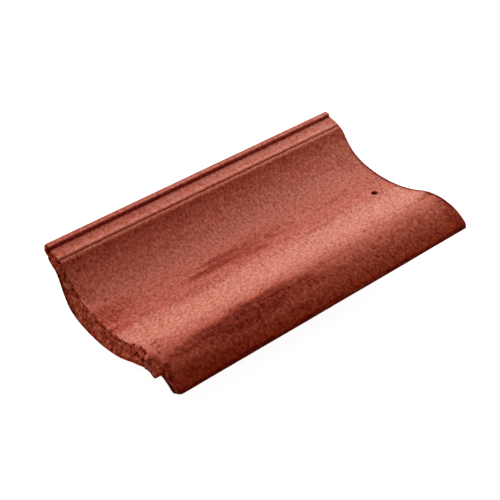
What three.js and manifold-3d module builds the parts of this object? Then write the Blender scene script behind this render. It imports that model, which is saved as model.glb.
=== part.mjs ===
// Interlocking single pantile in fired clay, in millimetres, +Z up.
//
// One fired piece. Its section runs the whole length: the underlock (rib and ledge) on the left edge, the pan,
// the roll, and the overlock lip on the right edge. The tail has a thick nose with a second weather bar behind
// it, and the head has a nail hole and two batten nibs.
//
// The shape is drawn as the tile lies on the roof: X across, Y up the slope from tail to head, Z square to the
// roof, with the floor of the underlock at Z = 0. The nib feet are level with the nose, so the tile lies level on
// a floor too. At the end it is moved until the bottom centre of its box is at the origin.

import * as THREE from 'three';
import { mergeVertices } from 'three/addons/utils/BufferGeometryUtils.js';
import Module from 'manifold-3d';

// ---- Driving dimensions ---------------------------------------------------------------------------------------

// whole tile
const TILE_LENGTH = 381;
const TILE_WIDTH = 229;
const BODY_THICKNESS = 12.5;

// underlock: the left edge, which the next tile covers
const RIB_WIDTH = 6;
const RIB_HEIGHT = 3;
const RIB_DRAFT = 1.2;
const RIB_EDGE_RADIUS = 0.9;
const LEDGE_WIDTH = 14.3;
const STEP_HEIGHT = 1;
const STEP_DRAFT = 0.4;
const UNDERLOCK_THICKNESS = 8;
const UNDERLOCK_CHAMFER_RUN = 8;
const UNDERLOCK_CHAMFER_RISE = 3;

// pan and roll
const SHOULDER_RADIUS = 20;
const PAN_CENTRE = 76.5;
const PAN_DEPTH = 23.5;
const ROLL_RADIUS = 70;
const CROWN_HEIGHT = 16;

// overlock: the right edge, which covers the next tile's underlock
const LIP_CLEARANCE = 2;
const LIP_FACE_HEIGHT = 0.5;
const LIP_RADIUS = 8;
const LIP_EDGE_WIDTH = 5;
const FLANGE_THICKNESS = 7;
const LEDGE_SIDE_CLEARANCE = 0.8;
const RIB_SIDE_CLEARANCE = 2.5;
const RECESS_DRAFT = 5;
const CROWN_TO_RECESS = 0.8;
const RECESS_FOOT_RADIUS = 2.5;
const TAIL_CORNER_RADIUS = 8;

// nose and weather bar, under the tail; the end face leans forward by NOSE_LEAN for each unit of its depth
const NOSE_PAN_DEPTH = 21.5;
const NOSE_ROLL_DEPTH = 16.5;
const NOSE_BLEND = 52;
const NOSE_LENGTH = 14;
const NOSE_LEAN = 0.3;
const BAR_PROUD = 4;
const BAR_LENGTH = 8;
const BAR_GAP = 20;
const BAR_DRAFT = 4;

// head: nail hole and batten nibs
const NAIL_HOLE_RADIUS = 3.5;
const NAIL_HOLE_X = 121;
const NAIL_HOLE_FROM_HEAD = 30;
const PAN_NIB_X = 57;
const ROLL_NIB_X = 143;
const NIB_WIDTH = 28;
const NIB_LENGTH = 15;
const NIB_DRAFT = 2;
const NIB_FROM_HEAD = 4;

// facets and cutting tools
const ARC_STEP = THREE.MathUtils.degToRad(2.5);
const EDGE_FACETS = 4;
const SHORTEST_FACET = 1;
const HOLE_SIDES = 32;
const CORNER_SIDES = 10;
const NIB_SPANS = 6;
const OVERCUT = 5;

// ---- Sizes that follow from them ------------------------------------------------------------------------------

const LEDGE_START = RIB_WIDTH + RIB_DRAFT;
const LEDGE_END = LEDGE_START + LEDGE_WIDTH;
const SHOULDER = new THREE.Vector2(LEDGE_END + STEP_DRAFT, -STEP_HEIGHT);
const PAN = new THREE.Vector2(PAN_CENTRE, -PAN_DEPTH);

// The lip of one tile ends just short of the step of the next, and its recess clears the next tile's rib.
const COVER_WIDTH = TILE_WIDTH - LEDGE_END + LEDGE_SIDE_CLEARANCE;
const RECESS_TOP = COVER_WIDTH - RIB_SIDE_CLEARANCE;
const RECESS_FOOT = RECESS_TOP - RECESS_DRAFT;
const CROWN = new THREE.Vector2(RECESS_FOOT - CROWN_TO_RECESS, CROWN_HEIGHT);
const LIP_END = new THREE.Vector2(TILE_WIDTH, LIP_CLEARANCE + LIP_FACE_HEIGHT);

// The nose and the nib feet end on one level.
const FOOT_LEVEL = -PAN_DEPTH - NOSE_PAN_DEPTH;

const firedClay = new THREE.MeshStandardMaterial({ color: 0xa5574a, roughness: 0.9, metalness: 0 });

// ---- Section --------------------------------------------------------------------------------------------------

/** Points after `from` on an arc that leaves it at heading `a` and turns to heading `b` (radians from +X). */
function arc(from, a, b, radius, count = Math.max(2, Math.ceil(Math.abs(b - a) / ARC_STEP))) {
  const side = Math.sign(b - a);
  const centre = new THREE.Vector2(from.x - side * radius * Math.sin(a), from.y + side * radius * Math.cos(a));
  return Array.from({ length: count }, (_, i) => {
    const t = a + ((b - a) * (i + 1)) / count;
    return new THREE.Vector2(centre.x + side * radius * Math.sin(t), centre.y - side * radius * Math.cos(t));
  });
}

/** The arc, with both its ends, that rounds `corner` on the way from `before` to `after`. */
function roundedCorner(before, corner, after, radius) {
  const arriving = corner.clone().sub(before).normalize();
  const leaving = after.clone().sub(corner).normalize();
  const turn = Math.atan2(arriving.cross(leaving), arriving.dot(leaving));
  const start = corner.clone().addScaledVector(arriving, -radius * Math.tan(Math.abs(turn) / 2));
  return [start, ...arc(start, arriving.angle(), arriving.angle() + turn, radius, EDGE_FACETS)];
}

/** The turn and the sum of the two radii of an S of tangent arcs between two level points. */
function sBend(from, to) {
  const turn = 2 * Math.atan2(to.y - from.y, to.x - from.x);
  return { turn, radii: (to.x - from.x) / Math.abs(Math.sin(turn)) };
}

/** The fall from the crown: one wide arc, then the lip's own, which ends upright at the lip's outer face. */
function crownFall() {
  const run = LIP_END.x - CROWN.x - LIP_RADIUS;
  const drop = CROWN.y - LIP_END.y - LIP_RADIUS;
  const turn = -2 * Math.atan2(drop, run);
  return { turn, radius: run / Math.sin(-turn) + LIP_RADIUS };
}

/** Upper outline of the section from the rib to the lip, with the places of its parts in the list. */
function upperOutline() {
  const left = sBend(SHOULDER, PAN);
  const right = sBend(PAN, CROWN);
  const fall = crownFall();
  const edge = new THREE.Vector2(0, 0);
  const rib = [new THREE.Vector2(0, RIB_HEIGHT), new THREE.Vector2(RIB_WIDTH, RIB_HEIGHT)];
  const ledge = [new THREE.Vector2(LEDGE_START, 0), new THREE.Vector2(LEDGE_END, 0)];
  const points = roundedCorner(edge, ...rib, RIB_EDGE_RADIUS);
  points.push(...roundedCorner(...rib, ledge[0], RIB_EDGE_RADIUS), ...ledge, SHOULDER.clone());
  const shoulderIndex = points.length;
  points.push(...arc(points.at(-1), 0, left.turn, SHOULDER_RADIUS));
  points.push(...arc(points.at(-1), left.turn, 0, left.radii - SHOULDER_RADIUS));
  points.push(...arc(points.at(-1), 0, right.turn, right.radii - ROLL_RADIUS));
  points.push(...arc(points.at(-1), right.turn, 0, ROLL_RADIUS));
  const crownIndex = points.length - 1;
  points.push(...arc(points.at(-1), 0, fall.turn, fall.radius));
  const lipIndex = points.length - 1;
  points.push(...arc(points.at(-1), fall.turn, -Math.PI / 2, LIP_RADIUS));
  points.push(new THREE.Vector2(TILE_WIDTH, LIP_CLEARANCE));
  return { points, shoulderIndex, crownIndex, lipIndex };
}

/** Height of the upper surface at `x`. */
function heightAt(x) {
  const { points } = upperOutline();
  const i = Math.max(1, points.findIndex((p) => p.x >= x));
  const [left, right] = [points[i - 1], points[i]];
  return THREE.MathUtils.mapLinear(x, left.x, right.x, left.y, right.y);
}

/** Point at `depth` under outline point `i`, square to the outline. */
function squareBelow(points, i, depth) {
  const along = points[i + 1].clone().sub(points[i - 1]).normalize();
  return new THREE.Vector2(points[i].x + along.y * depth, points[i].y - along.x * depth);
}

/** Point under outline point `i` of a skin that thickens from the underlock's to `thickness` by the pan. */
function skinBelow(points, i, thickness) {
  const grown = THREE.MathUtils.smoothstep(points[i].x, LEDGE_START, PAN.x);
  return squareBelow(points, i, THREE.MathUtils.lerp(UNDERLOCK_THICKNESS, thickness, grown));
}

/** Point straight under outline point `i` on the nose, which nests in the pan of the tile below. */
function noseBelow(points, i) {
  const { x, y } = points[i];
  const grown = THREE.MathUtils.smoothstep(x, LEDGE_START, LEDGE_START + NOSE_BLEND);
  const waning = Math.max(0, (x - PAN.x) / (CROWN.x - PAN.x)) ** 2;
  const full = THREE.MathUtils.lerp(UNDERLOCK_THICKNESS, NOSE_PAN_DEPTH, grown);
  return new THREE.Vector2(x, y - THREE.MathUtils.lerp(full, NOSE_ROLL_DEPTH, waning));
}

/** Closed section, anticlockwise seen from the tail; `under` places a point of the underside. */
function section(under) {
  const { points, shoulderIndex, crownIndex, lipIndex } = upperOutline();
  const outline = [
    new THREE.Vector2(0, UNDERLOCK_CHAMFER_RISE - UNDERLOCK_THICKNESS),
    new THREE.Vector2(UNDERLOCK_CHAMFER_RUN, -UNDERLOCK_THICKNESS),
  ];
  for (let i = shoulderIndex; i < crownIndex; i += 1) outline.push(under(points, i));
  const ceiling = crownFall().radius - FLANGE_THICKNESS;
  const sag = ceiling - Math.sqrt(ceiling ** 2 - (RECESS_TOP - CROWN.x) ** 2);
  const foot = new THREE.Vector2(RECESS_FOOT, under(points, crownIndex).y);
  const top = new THREE.Vector2(RECESS_TOP, CROWN.y - FLANGE_THICKNESS - sag);
  outline.push(...roundedCorner(outline.at(-1), foot, top, RECESS_FOOT_RADIUS), top);
  for (let i = crownIndex + 1; i <= lipIndex; i += 1) {
    const inner = squareBelow(points, i, FLANGE_THICKNESS);
    if (inner.x > RECESS_TOP + SHORTEST_FACET) outline.push(inner);
  }
  outline.push(new THREE.Vector2(TILE_WIDTH - LIP_EDGE_WIDTH, LIP_CLEARANCE));
  return [...outline, ...points.reverse()];
}

// ---- Solids ---------------------------------------------------------------------------------------------------

/** Flat coordinates of a point of a ring that lies across the tile, seen from the tail. */
const fromTail = ([x, , z]) => new THREE.Vector2(x, z);

/** Flat coordinates of a point of a ring that lies along the tile, seen from the left edge. */
const fromLeft = ([, y, z]) => new THREE.Vector2(-y, z);

/** Closed loft through rings of equally many [x, y, z] points, anticlockwise as `seen` from the first ring. */
function loft(rings, seen) {
  const size = rings[0].length;
  const last = (rings.length - 1) * size;
  const startCap = THREE.ShapeUtils.triangulateShape(rings[0].map(seen), []);
  const endCap = THREE.ShapeUtils.triangulateShape(rings.at(-1).map(seen), []);
  const index = [...startCap.flat(), ...endCap.flatMap(([a, b, c]) => [last + a, last + c, last + b])];
  for (let start = 0; start < last; start += size) {
    for (let k = 0; k < size; k += 1) {
      const [a, b] = [start + k, start + ((k + 1) % size)];
      index.push(a, b + size, b, a, a + size, b + size);
    }
  }
  const geometry = new THREE.BufferGeometry();
  geometry.setAttribute('position', new THREE.Float32BufferAttribute(rings.flat(2), 3));
  return geometry.setIndex(index);
}

/** The pressed body: one section after another along the length, deep at the nose and the weather bar. */
function pressedBody() {
  const nose = section(noseBelow);
  const body = section((points, i) => skinBelow(points, i, BODY_THICKNESS));
  const bar = section((points, i) => skinBelow(points, i, BODY_THICKNESS + BAR_PROUD));
  const noseEnd = NOSE_LENGTH + BAR_DRAFT;
  const barStart = noseEnd + BAR_GAP + BAR_DRAFT;
  const barEnd = barStart + BAR_LENGTH;
  const stations = [
    [nose, -NOSE_LEAN * NOSE_PAN_DEPTH - OVERCUT],
    [nose, NOSE_LENGTH],
    [body, noseEnd],
    [body, noseEnd + BAR_GAP],
    [bar, barStart],
    [bar, barEnd],
    [body, barEnd + BAR_DRAFT],
    [body, TILE_LENGTH],
  ];
  return loft(stations.map(([outline, y]) => outline.map((p) => [p.x, y, p.y])), fromTail);
}

/** What is cut away in front of the tail's end face, which leans forward below the upper outline. */
function tailFaceCutter() {
  const reach = NOSE_PAN_DEPTH + OVERCUT;
  const front = -NOSE_LEAN * reach - OVERCUT;
  const ring = (x, z) => [
    [x, -NOSE_LEAN * reach, z - reach],
    [x, front, z - reach],
    [x, front, z + OVERCUT],
    [x, NOSE_LEAN * OVERCUT, z + OVERCUT],
  ];
  const { points, lipIndex } = upperOutline();
  const rings = points.slice(0, lipIndex + 1).map((p) => ring(p.x, p.y));
  return loft([ring(-OVERCUT, RIB_HEIGHT), ...rings, ring(TILE_WIDTH + OVERCUT, points[lipIndex].y)], fromLeft);
}

/** One batten nib: upright towards the tail, where it bears on the batten, and drafted on its other sides. */
function nib(centre) {
  const back = TILE_LENGTH - NIB_FROM_HEAD;
  const [left, right] = [centre - NIB_WIDTH / 2, centre + NIB_WIDTH / 2];
  const root = Array.from({ length: NIB_SPANS + 1 }, (_, i) => {
    const x = THREE.MathUtils.lerp(right, left, i / NIB_SPANS);
    return [x, heightAt(x) - BODY_THICKNESS / 2];
  });
  const ring = (footY, rootY) => [
    [left + NIB_DRAFT, footY, FOOT_LEVEL],
    [right - NIB_DRAFT, footY, FOOT_LEVEL],
    ...root.map(([x, z]) => [x, rootY, z]),
  ];
  return loft([ring(back - NIB_LENGTH, back - NIB_LENGTH), ring(back - NIB_DRAFT, back)], fromTail);
}

/** Upright drill through the body for the tile nail. */
function nailDrill() {
  const height = 2 * (PAN_DEPTH + BODY_THICKNESS + OVERCUT);
  const drill = new THREE.CylinderGeometry(NAIL_HOLE_RADIUS, NAIL_HOLE_RADIUS, height, HOLE_SIDES);
  return drill.rotateX(Math.PI / 2).translate(NAIL_HOLE_X, TILE_LENGTH - NAIL_HOLE_FROM_HEAD, 0);
}

/** What the rounded tail corner of the lip leaves outside it. */
function tailCornerCutter() {
  const front = -NOSE_LEAN * FLANGE_THICKNESS;
  const centre = new THREE.Vector2(TILE_WIDTH - TAIL_CORNER_RADIUS, front + TAIL_CORNER_RADIUS);
  const outline = new THREE.Shape();
  outline.absarc(centre.x, centre.y, TAIL_CORNER_RADIUS, 0, -Math.PI / 2, true);
  outline.lineTo(centre.x, front - OVERCUT);
  outline.lineTo(TILE_WIDTH + OVERCUT, front - OVERCUT);
  outline.lineTo(TILE_WIDTH + OVERCUT, centre.y);
  const depth = CROWN_HEIGHT + 2 * OVERCUT;
  const cutter = new THREE.ExtrudeGeometry(outline, { depth, bevelEnabled: false, curveSegments: CORNER_SIDES });
  return cutter.translate(0, 0, -OVERCUT);
}

/** The tile as one solid, in the frame of the roof. */
async function tileGeometry() {
  const wasm = await Module();
  wasm.setup();
  const solid = (geometry) => {
    const bare = geometry.clone();
    bare.deleteAttribute('normal');
    bare.deleteAttribute('uv');
    const merged = mergeVertices(bare);
    return new wasm.Manifold(new wasm.Mesh({
      numProp: 3,
      vertProperties: new Float32Array(merged.attributes.position.array),
      triVerts: new Uint32Array(merged.index.array),
    }));
  };
  const tile = solid(pressedBody())
    .add(solid(nib(PAN_NIB_X)))
    .add(solid(nib(ROLL_NIB_X)))
    .subtract(solid(nailDrill()))
    .subtract(solid(tailFaceCutter()))
    .subtract(solid(tailCornerCutter()));
  const { vertProperties, triVerts } = tile.getMesh();
  const geometry = new THREE.BufferGeometry();
  geometry.setAttribute('position', new THREE.BufferAttribute(vertProperties, 3));
  geometry.setIndex(new THREE.BufferAttribute(triVerts, 1));
  geometry.computeVertexNormals();
  return geometry;
}

// ---- Tile -----------------------------------------------------------------------------------------------------

/** The tile as a named mesh, with the bottom centre of its box at the origin. */
async function pantile() {
  const tile = new THREE.Mesh(await tileGeometry(), firedClay);
  tile.name = 'tile_body';
  const box = new THREE.Box3().setFromObject(tile, true);
  const centre = box.getCenter(new THREE.Vector3());
  tile.position.set(-centre.x, -centre.y, -box.min.z);
  return tile;
}

const group = new THREE.Group();
group.add(await pantile());

export default group;
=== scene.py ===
"""An interlocking clay pantile, with the finish of its fired body, and the light and camera it is shown in.

The tile is one fired piece, so it is one mesh. Its section, nose, nibs and nail hole are worked out from the
same dimensions as the solid that it stands for. The mesh adds what firing, cutting and handling leave on a
real tile: worn edges, a torn and pitted tail end, an uneven skin and a worn nail hole.
"""

import itertools
import logging
import math
from collections.abc import Iterable
from dataclasses import dataclass, field
from enum import Enum, IntEnum

import bpy
import numpy as np
from mathutils import Euler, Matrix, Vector

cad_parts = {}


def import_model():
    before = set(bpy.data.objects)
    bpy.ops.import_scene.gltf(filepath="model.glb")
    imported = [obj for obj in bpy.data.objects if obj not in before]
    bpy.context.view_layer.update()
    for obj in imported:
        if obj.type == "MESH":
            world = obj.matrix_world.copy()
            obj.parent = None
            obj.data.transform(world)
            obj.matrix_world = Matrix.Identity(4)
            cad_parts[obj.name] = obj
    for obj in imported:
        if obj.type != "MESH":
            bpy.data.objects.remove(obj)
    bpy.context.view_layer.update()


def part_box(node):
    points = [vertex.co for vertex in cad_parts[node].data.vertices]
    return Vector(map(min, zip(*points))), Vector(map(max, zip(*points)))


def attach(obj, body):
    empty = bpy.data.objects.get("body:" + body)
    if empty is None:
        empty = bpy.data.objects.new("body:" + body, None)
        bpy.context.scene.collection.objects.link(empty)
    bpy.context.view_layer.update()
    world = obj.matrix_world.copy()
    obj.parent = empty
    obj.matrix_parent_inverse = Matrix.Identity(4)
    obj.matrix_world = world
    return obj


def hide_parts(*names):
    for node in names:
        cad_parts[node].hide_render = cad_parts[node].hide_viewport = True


LOG = logging.getLogger("pantile")
MM = 0.001

# A shorter length counts as nothing, which keeps it out of a divisor.
TINY = 1e-9

# The hash behind the noise: a prime for each axis and one for the seed, two rounds of shift and multiply
# that keep 31 bits, and 16 of those bits, from the eighth up, for the value.
AXIS_PRIMES = np.array([73856093, 19349663, 83492791])
SEED_PRIME = 2654435761
HASH_ROUNDS = ((13, 1274126177), (15, 2246822519))
KEPT_BITS = 0x7FFFFFFF
VALUE_SHIFT = 8
VALUE_BITS = 0xFFFF

# Where something begins and where it is complete.
Span = tuple[float, float]

# Places in millimetres, most often across the tile, and a value at each.
Profile = tuple[tuple[float, float], ...]

Socket = bpy.types.NodeSocket


# ---- Small tools ------------------------------------------------------------------------------------


def smoothstep(low: float, high: float, value: np.ndarray) -> np.ndarray:
    """Smooth rise from 0 at `low` to 1 at `high`.

    Args:
        low: where the rise starts.
        high: where it ends; below `low` for a fall.
        value: the places to evaluate.

    Returns:
        The rise at each place.
    """
    t = np.clip((value - low) / (high - low), 0.0, 1.0)
    return t * t * (3.0 - 2.0 * t)


def bell(value: np.ndarray, width: float | np.ndarray) -> np.ndarray:
    """A round hump, 1 where `value` is 0 and about a third at `width` on either side."""
    return np.exp(-((value / width) ** 2))


def level_at(profile: Profile, x: np.ndarray) -> np.ndarray:
    """The profile's value at each place, held at its ends."""
    return np.interp(x, *zip(*profile))


def linear(hex_colour: str) -> tuple[float, float, float, float]:
    """Turn an sRGB hex colour into a linear one, by the sRGB standard's curve.

    Args:
        hex_colour: six hex digits, with or without a leading #.

    Returns:
        Linear red, green, blue and an alpha of 1.
    """
    digits = hex_colour.lstrip("#")
    parts = [int(digits[i : i + 2], 16) / 255 for i in (0, 2, 4)]
    return (*(c / 12.92 if c <= 0.04045 else ((c + 0.055) / 1.055) ** 2.4 for c in parts), 1.0)


def value_noise(points: np.ndarray, cell: float | np.ndarray, seed: int) -> np.ndarray:
    """Smooth repeatable noise.

    Args:
        points: rows of x, y, z.
        cell: distance from one bump to the next, in the points' units; one number or one for each axis.
        seed: which noise.

    Returns:
        A value from -1 to 1 for each point.
    """
    places = points / cell
    corner = np.floor(places).astype(np.int64)
    part = places - corner
    part = part * part * (3.0 - 2.0 * part)
    total = np.zeros(len(points))
    for step in itertools.product((0, 1), repeat=3):
        keys = np.bitwise_xor.reduce((corner + step) * AXIS_PRIMES, axis=1) ^ (seed * SEED_PRIME)
        for shift, factor in HASH_ROUNDS:
            keys = ((keys ^ (keys >> shift)) * factor) & KEPT_BITS
        weight = np.prod(np.where(step, part, 1.0 - part), axis=1)
        total += weight * ((keys >> VALUE_SHIFT) & VALUE_BITS) / (VALUE_BITS / 2)
    return total - 1.0


def rough_noise(points: np.ndarray, cell: float, seed: int, octaves: int = 3) -> np.ndarray:
    """Noise with finer and finer bumps on it.

    Args:
        points: rows of x, y, z.
        cell: size of the coarsest bump.
        seed: which noise.
        octaves: how many sizes of bump, each half of the one before.

    Returns:
        A value from about -1 to 1 for each point.
    """
    layers = [value_noise(points, cell / 2**n, seed + n) / 2**n for n in range(octaves)]
    return sum(layers) / sum(0.5**n for n in range(octaves))


def distance_to_line(x: np.ndarray, z: np.ndarray, line: np.ndarray) -> np.ndarray:
    """Distance from points to a chain of straight pieces.

    Args:
        x: first coordinate of the points.
        z: second coordinate of the points.
        line: rows of x, z along the chain.

    Returns:
        The distance of each point from the nearest piece.
    """
    nearest = np.full(len(x), np.inf)
    for start, run in zip(line[:-1], np.diff(line, axis=0)):
        part = ((x - start[0]) * run[0] + (z - start[1]) * run[1]) / max(run @ run, TINY)
        part = np.clip(part, 0.0, 1.0)
        nearest = np.minimum(nearest, np.hypot(x - start[0] - part * run[0], z - start[1] - part * run[1]))
    return nearest


# ---- Tile sizes and section -------------------------------------------------------------------------


# The fewest straight pieces that an arc is drawn with.
ARC_PIECES = 3


@dataclass(frozen=True)
class TileSizes:
    """Driving dimensions of the tile in millimetres, in the frame of the roof.

    X runs across from the underlock's rib, Y up the slope from tail to head, and Z square to the roof, with
    the floor of the underlock at 0.
    """

    length: float = 381.0
    width: float = 229.0
    body: float = 12.5
    rib_width: float = 6.0
    rib_height: float = 3.0
    rib_draft: float = 1.2
    rib_edge_radius: float = 0.9
    ledge_width: float = 14.3
    step_height: float = 1.0
    step_draft: float = 0.4
    step_edge_radius: float = 0.35
    underlock: float = 8.0
    chamfer_run: float = 8.0
    chamfer_rise: float = 3.0
    shoulder_radius: float = 20.0
    pan_centre: float = 76.5
    pan_depth: float = 23.5
    roll_radius: float = 70.0
    crown_height: float = 16.0
    lip_clearance: float = 2.0
    lip_face: float = 0.5
    lip_radius: float = 8.0
    lip_edge: float = 5.0
    flange: float = 7.0
    ledge_clearance: float = 0.8
    rib_clearance: float = 2.5
    recess_draft: float = 5.0
    crown_to_recess: float = 0.8
    recess_foot_radius: float = 2.5
    tail_corner: float = 8.0
    nose_pan: float = 21.5
    nose_roll: float = 16.5
    nose_blend: float = 52.0
    nose_length: float = 14.0
    nose_lean: float = 0.3
    bar_proud: float = 4.0
    bar_length: float = 8.0
    bar_gap: float = 20.0
    bar_draft: float = 4.0
    hole_radius: float = 3.5
    hole_x: float = 121.0
    hole_from_head: float = 30.0
    pan_nib_x: float = 57.0
    roll_nib_x: float = 143.0
    nib_width: float = 28.0
    nib_length: float = 15.0
    nib_draft: float = 2.0
    nib_from_head: float = 4.0

    @property
    def ledge_start(self) -> float:
        """Where the ledge's floor begins beside the rib."""
        return self.rib_width + self.rib_draft

    @property
    def ledge_end(self) -> float:
        """Where the ledge ends at the small step."""
        return self.ledge_start + self.ledge_width

    @property
    def recess_top(self) -> float:
        """Inner top corner of the overlock's recess, clear of the next tile's rib."""
        return self.width - self.ledge_end + self.ledge_clearance - self.rib_clearance

    @property
    def recess_foot(self) -> float:
        """Bottom corner of the body where the recess begins."""
        return self.recess_top - self.recess_draft

    @property
    def crown_x(self) -> float:
        """Where the roll is highest."""
        return self.recess_foot - self.crown_to_recess

    @property
    def foot_level(self) -> float:
        """Level of the nose's underside and of the nib feet."""
        return -self.pan_depth - self.nose_pan


def arc(start: np.ndarray, a: float, b: float, radius: float, spacing: float) -> list[np.ndarray]:
    """Points on an arc that leaves `start` at heading `a` and turns to heading `b`.

    Args:
        start: first point, which isn't repeated.
        a: heading at the start, in radians from +X.
        b: heading at the end.
        radius: radius of the arc in millimetres.
        spacing: longest distance between points.

    Returns:
        The points after `start`.
    """
    side = math.copysign(1.0, b - a)
    centre = start + side * radius * np.array([-math.sin(a), math.cos(a)])
    count = max(ARC_PIECES, math.ceil(abs(b - a) * radius / spacing))
    turns = a + (b - a) * np.arange(1, count + 1) / count
    return [centre + side * radius * np.array([math.sin(t), -math.cos(t)]) for t in turns]


def s_bend(start: np.ndarray, end: np.ndarray) -> tuple[float, float]:
    """The turn and the sum of the two radii of an S of tangent arcs between two level points.

    Args:
        start: level start of the S.
        end: level end of the S.

    Returns:
        The heading in the middle of the S, and the two radii added up.
    """
    turn = 2 * math.atan2(end[1] - start[1], end[0] - start[0])
    return turn, (end[0] - start[0]) / abs(math.sin(turn))


def softened(corners: list[tuple[float, float, float]], spacing: float) -> list[np.ndarray]:
    """A path through corners, each rounded by its own radius, with points no further apart than `spacing`.

    Args:
        corners: x, z and rounding radius of each corner, in millimetres; the ends aren't rounded.
        spacing: longest distance between points.

    Returns:
        The points of the path, with both ends.
    """
    places = [np.array(c[:2]) for c in corners]
    path = [places[0]]
    for i in range(1, len(places)):
        target = places[i]
        if i < len(places) - 1:
            back = (places[i - 1] - target) / np.linalg.norm(places[i - 1] - target)
            onward = (places[i + 1] - target) / np.linalg.norm(places[i + 1] - target)
            half = math.acos(np.clip(back @ onward, -1, 1)) / 2
            inset = corners[i][2] / math.tan(half)
            a = math.atan2(-back[1], -back[0])
            turn = math.atan2(onward[1], onward[0]) - a
            turn = (turn + math.pi) % (2 * math.pi) - math.pi
            target = target + back * inset
        count = max(1, math.ceil(np.linalg.norm(target - path[-1]) / spacing))
        path += [path[-1] + (target - path[-1]) * n / count for n in range(1, count + 1)]
        if i < len(places) - 1:
            path += arc(path[-1], a, a + turn, corners[i][2], spacing)
    return path


def resampled(path: np.ndarray, count: int, corners: tuple[int, ...] = ()) -> np.ndarray:
    """The same path with evenly spaced points, with the named corners kept.

    Args:
        path: rows of x, z.
        count: how many points to return.
        corners: indices of points of `path` that keep a point of their own.

    Returns:
        `count` rows of x, z from the path's start to its end.
    """
    along = np.concatenate([[0.0], np.cumsum(np.linalg.norm(np.diff(path, axis=0), axis=1))])
    places = np.linspace(0.0, along[-1], count)
    for corner in corners:
        nearest = int(np.argmin(np.abs(places - along[corner])))
        places[nearest] = along[corner]
    return np.stack([np.interp(places, along, path[:, 0]), np.interp(places, along, path[:, 1])], axis=1)


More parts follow.
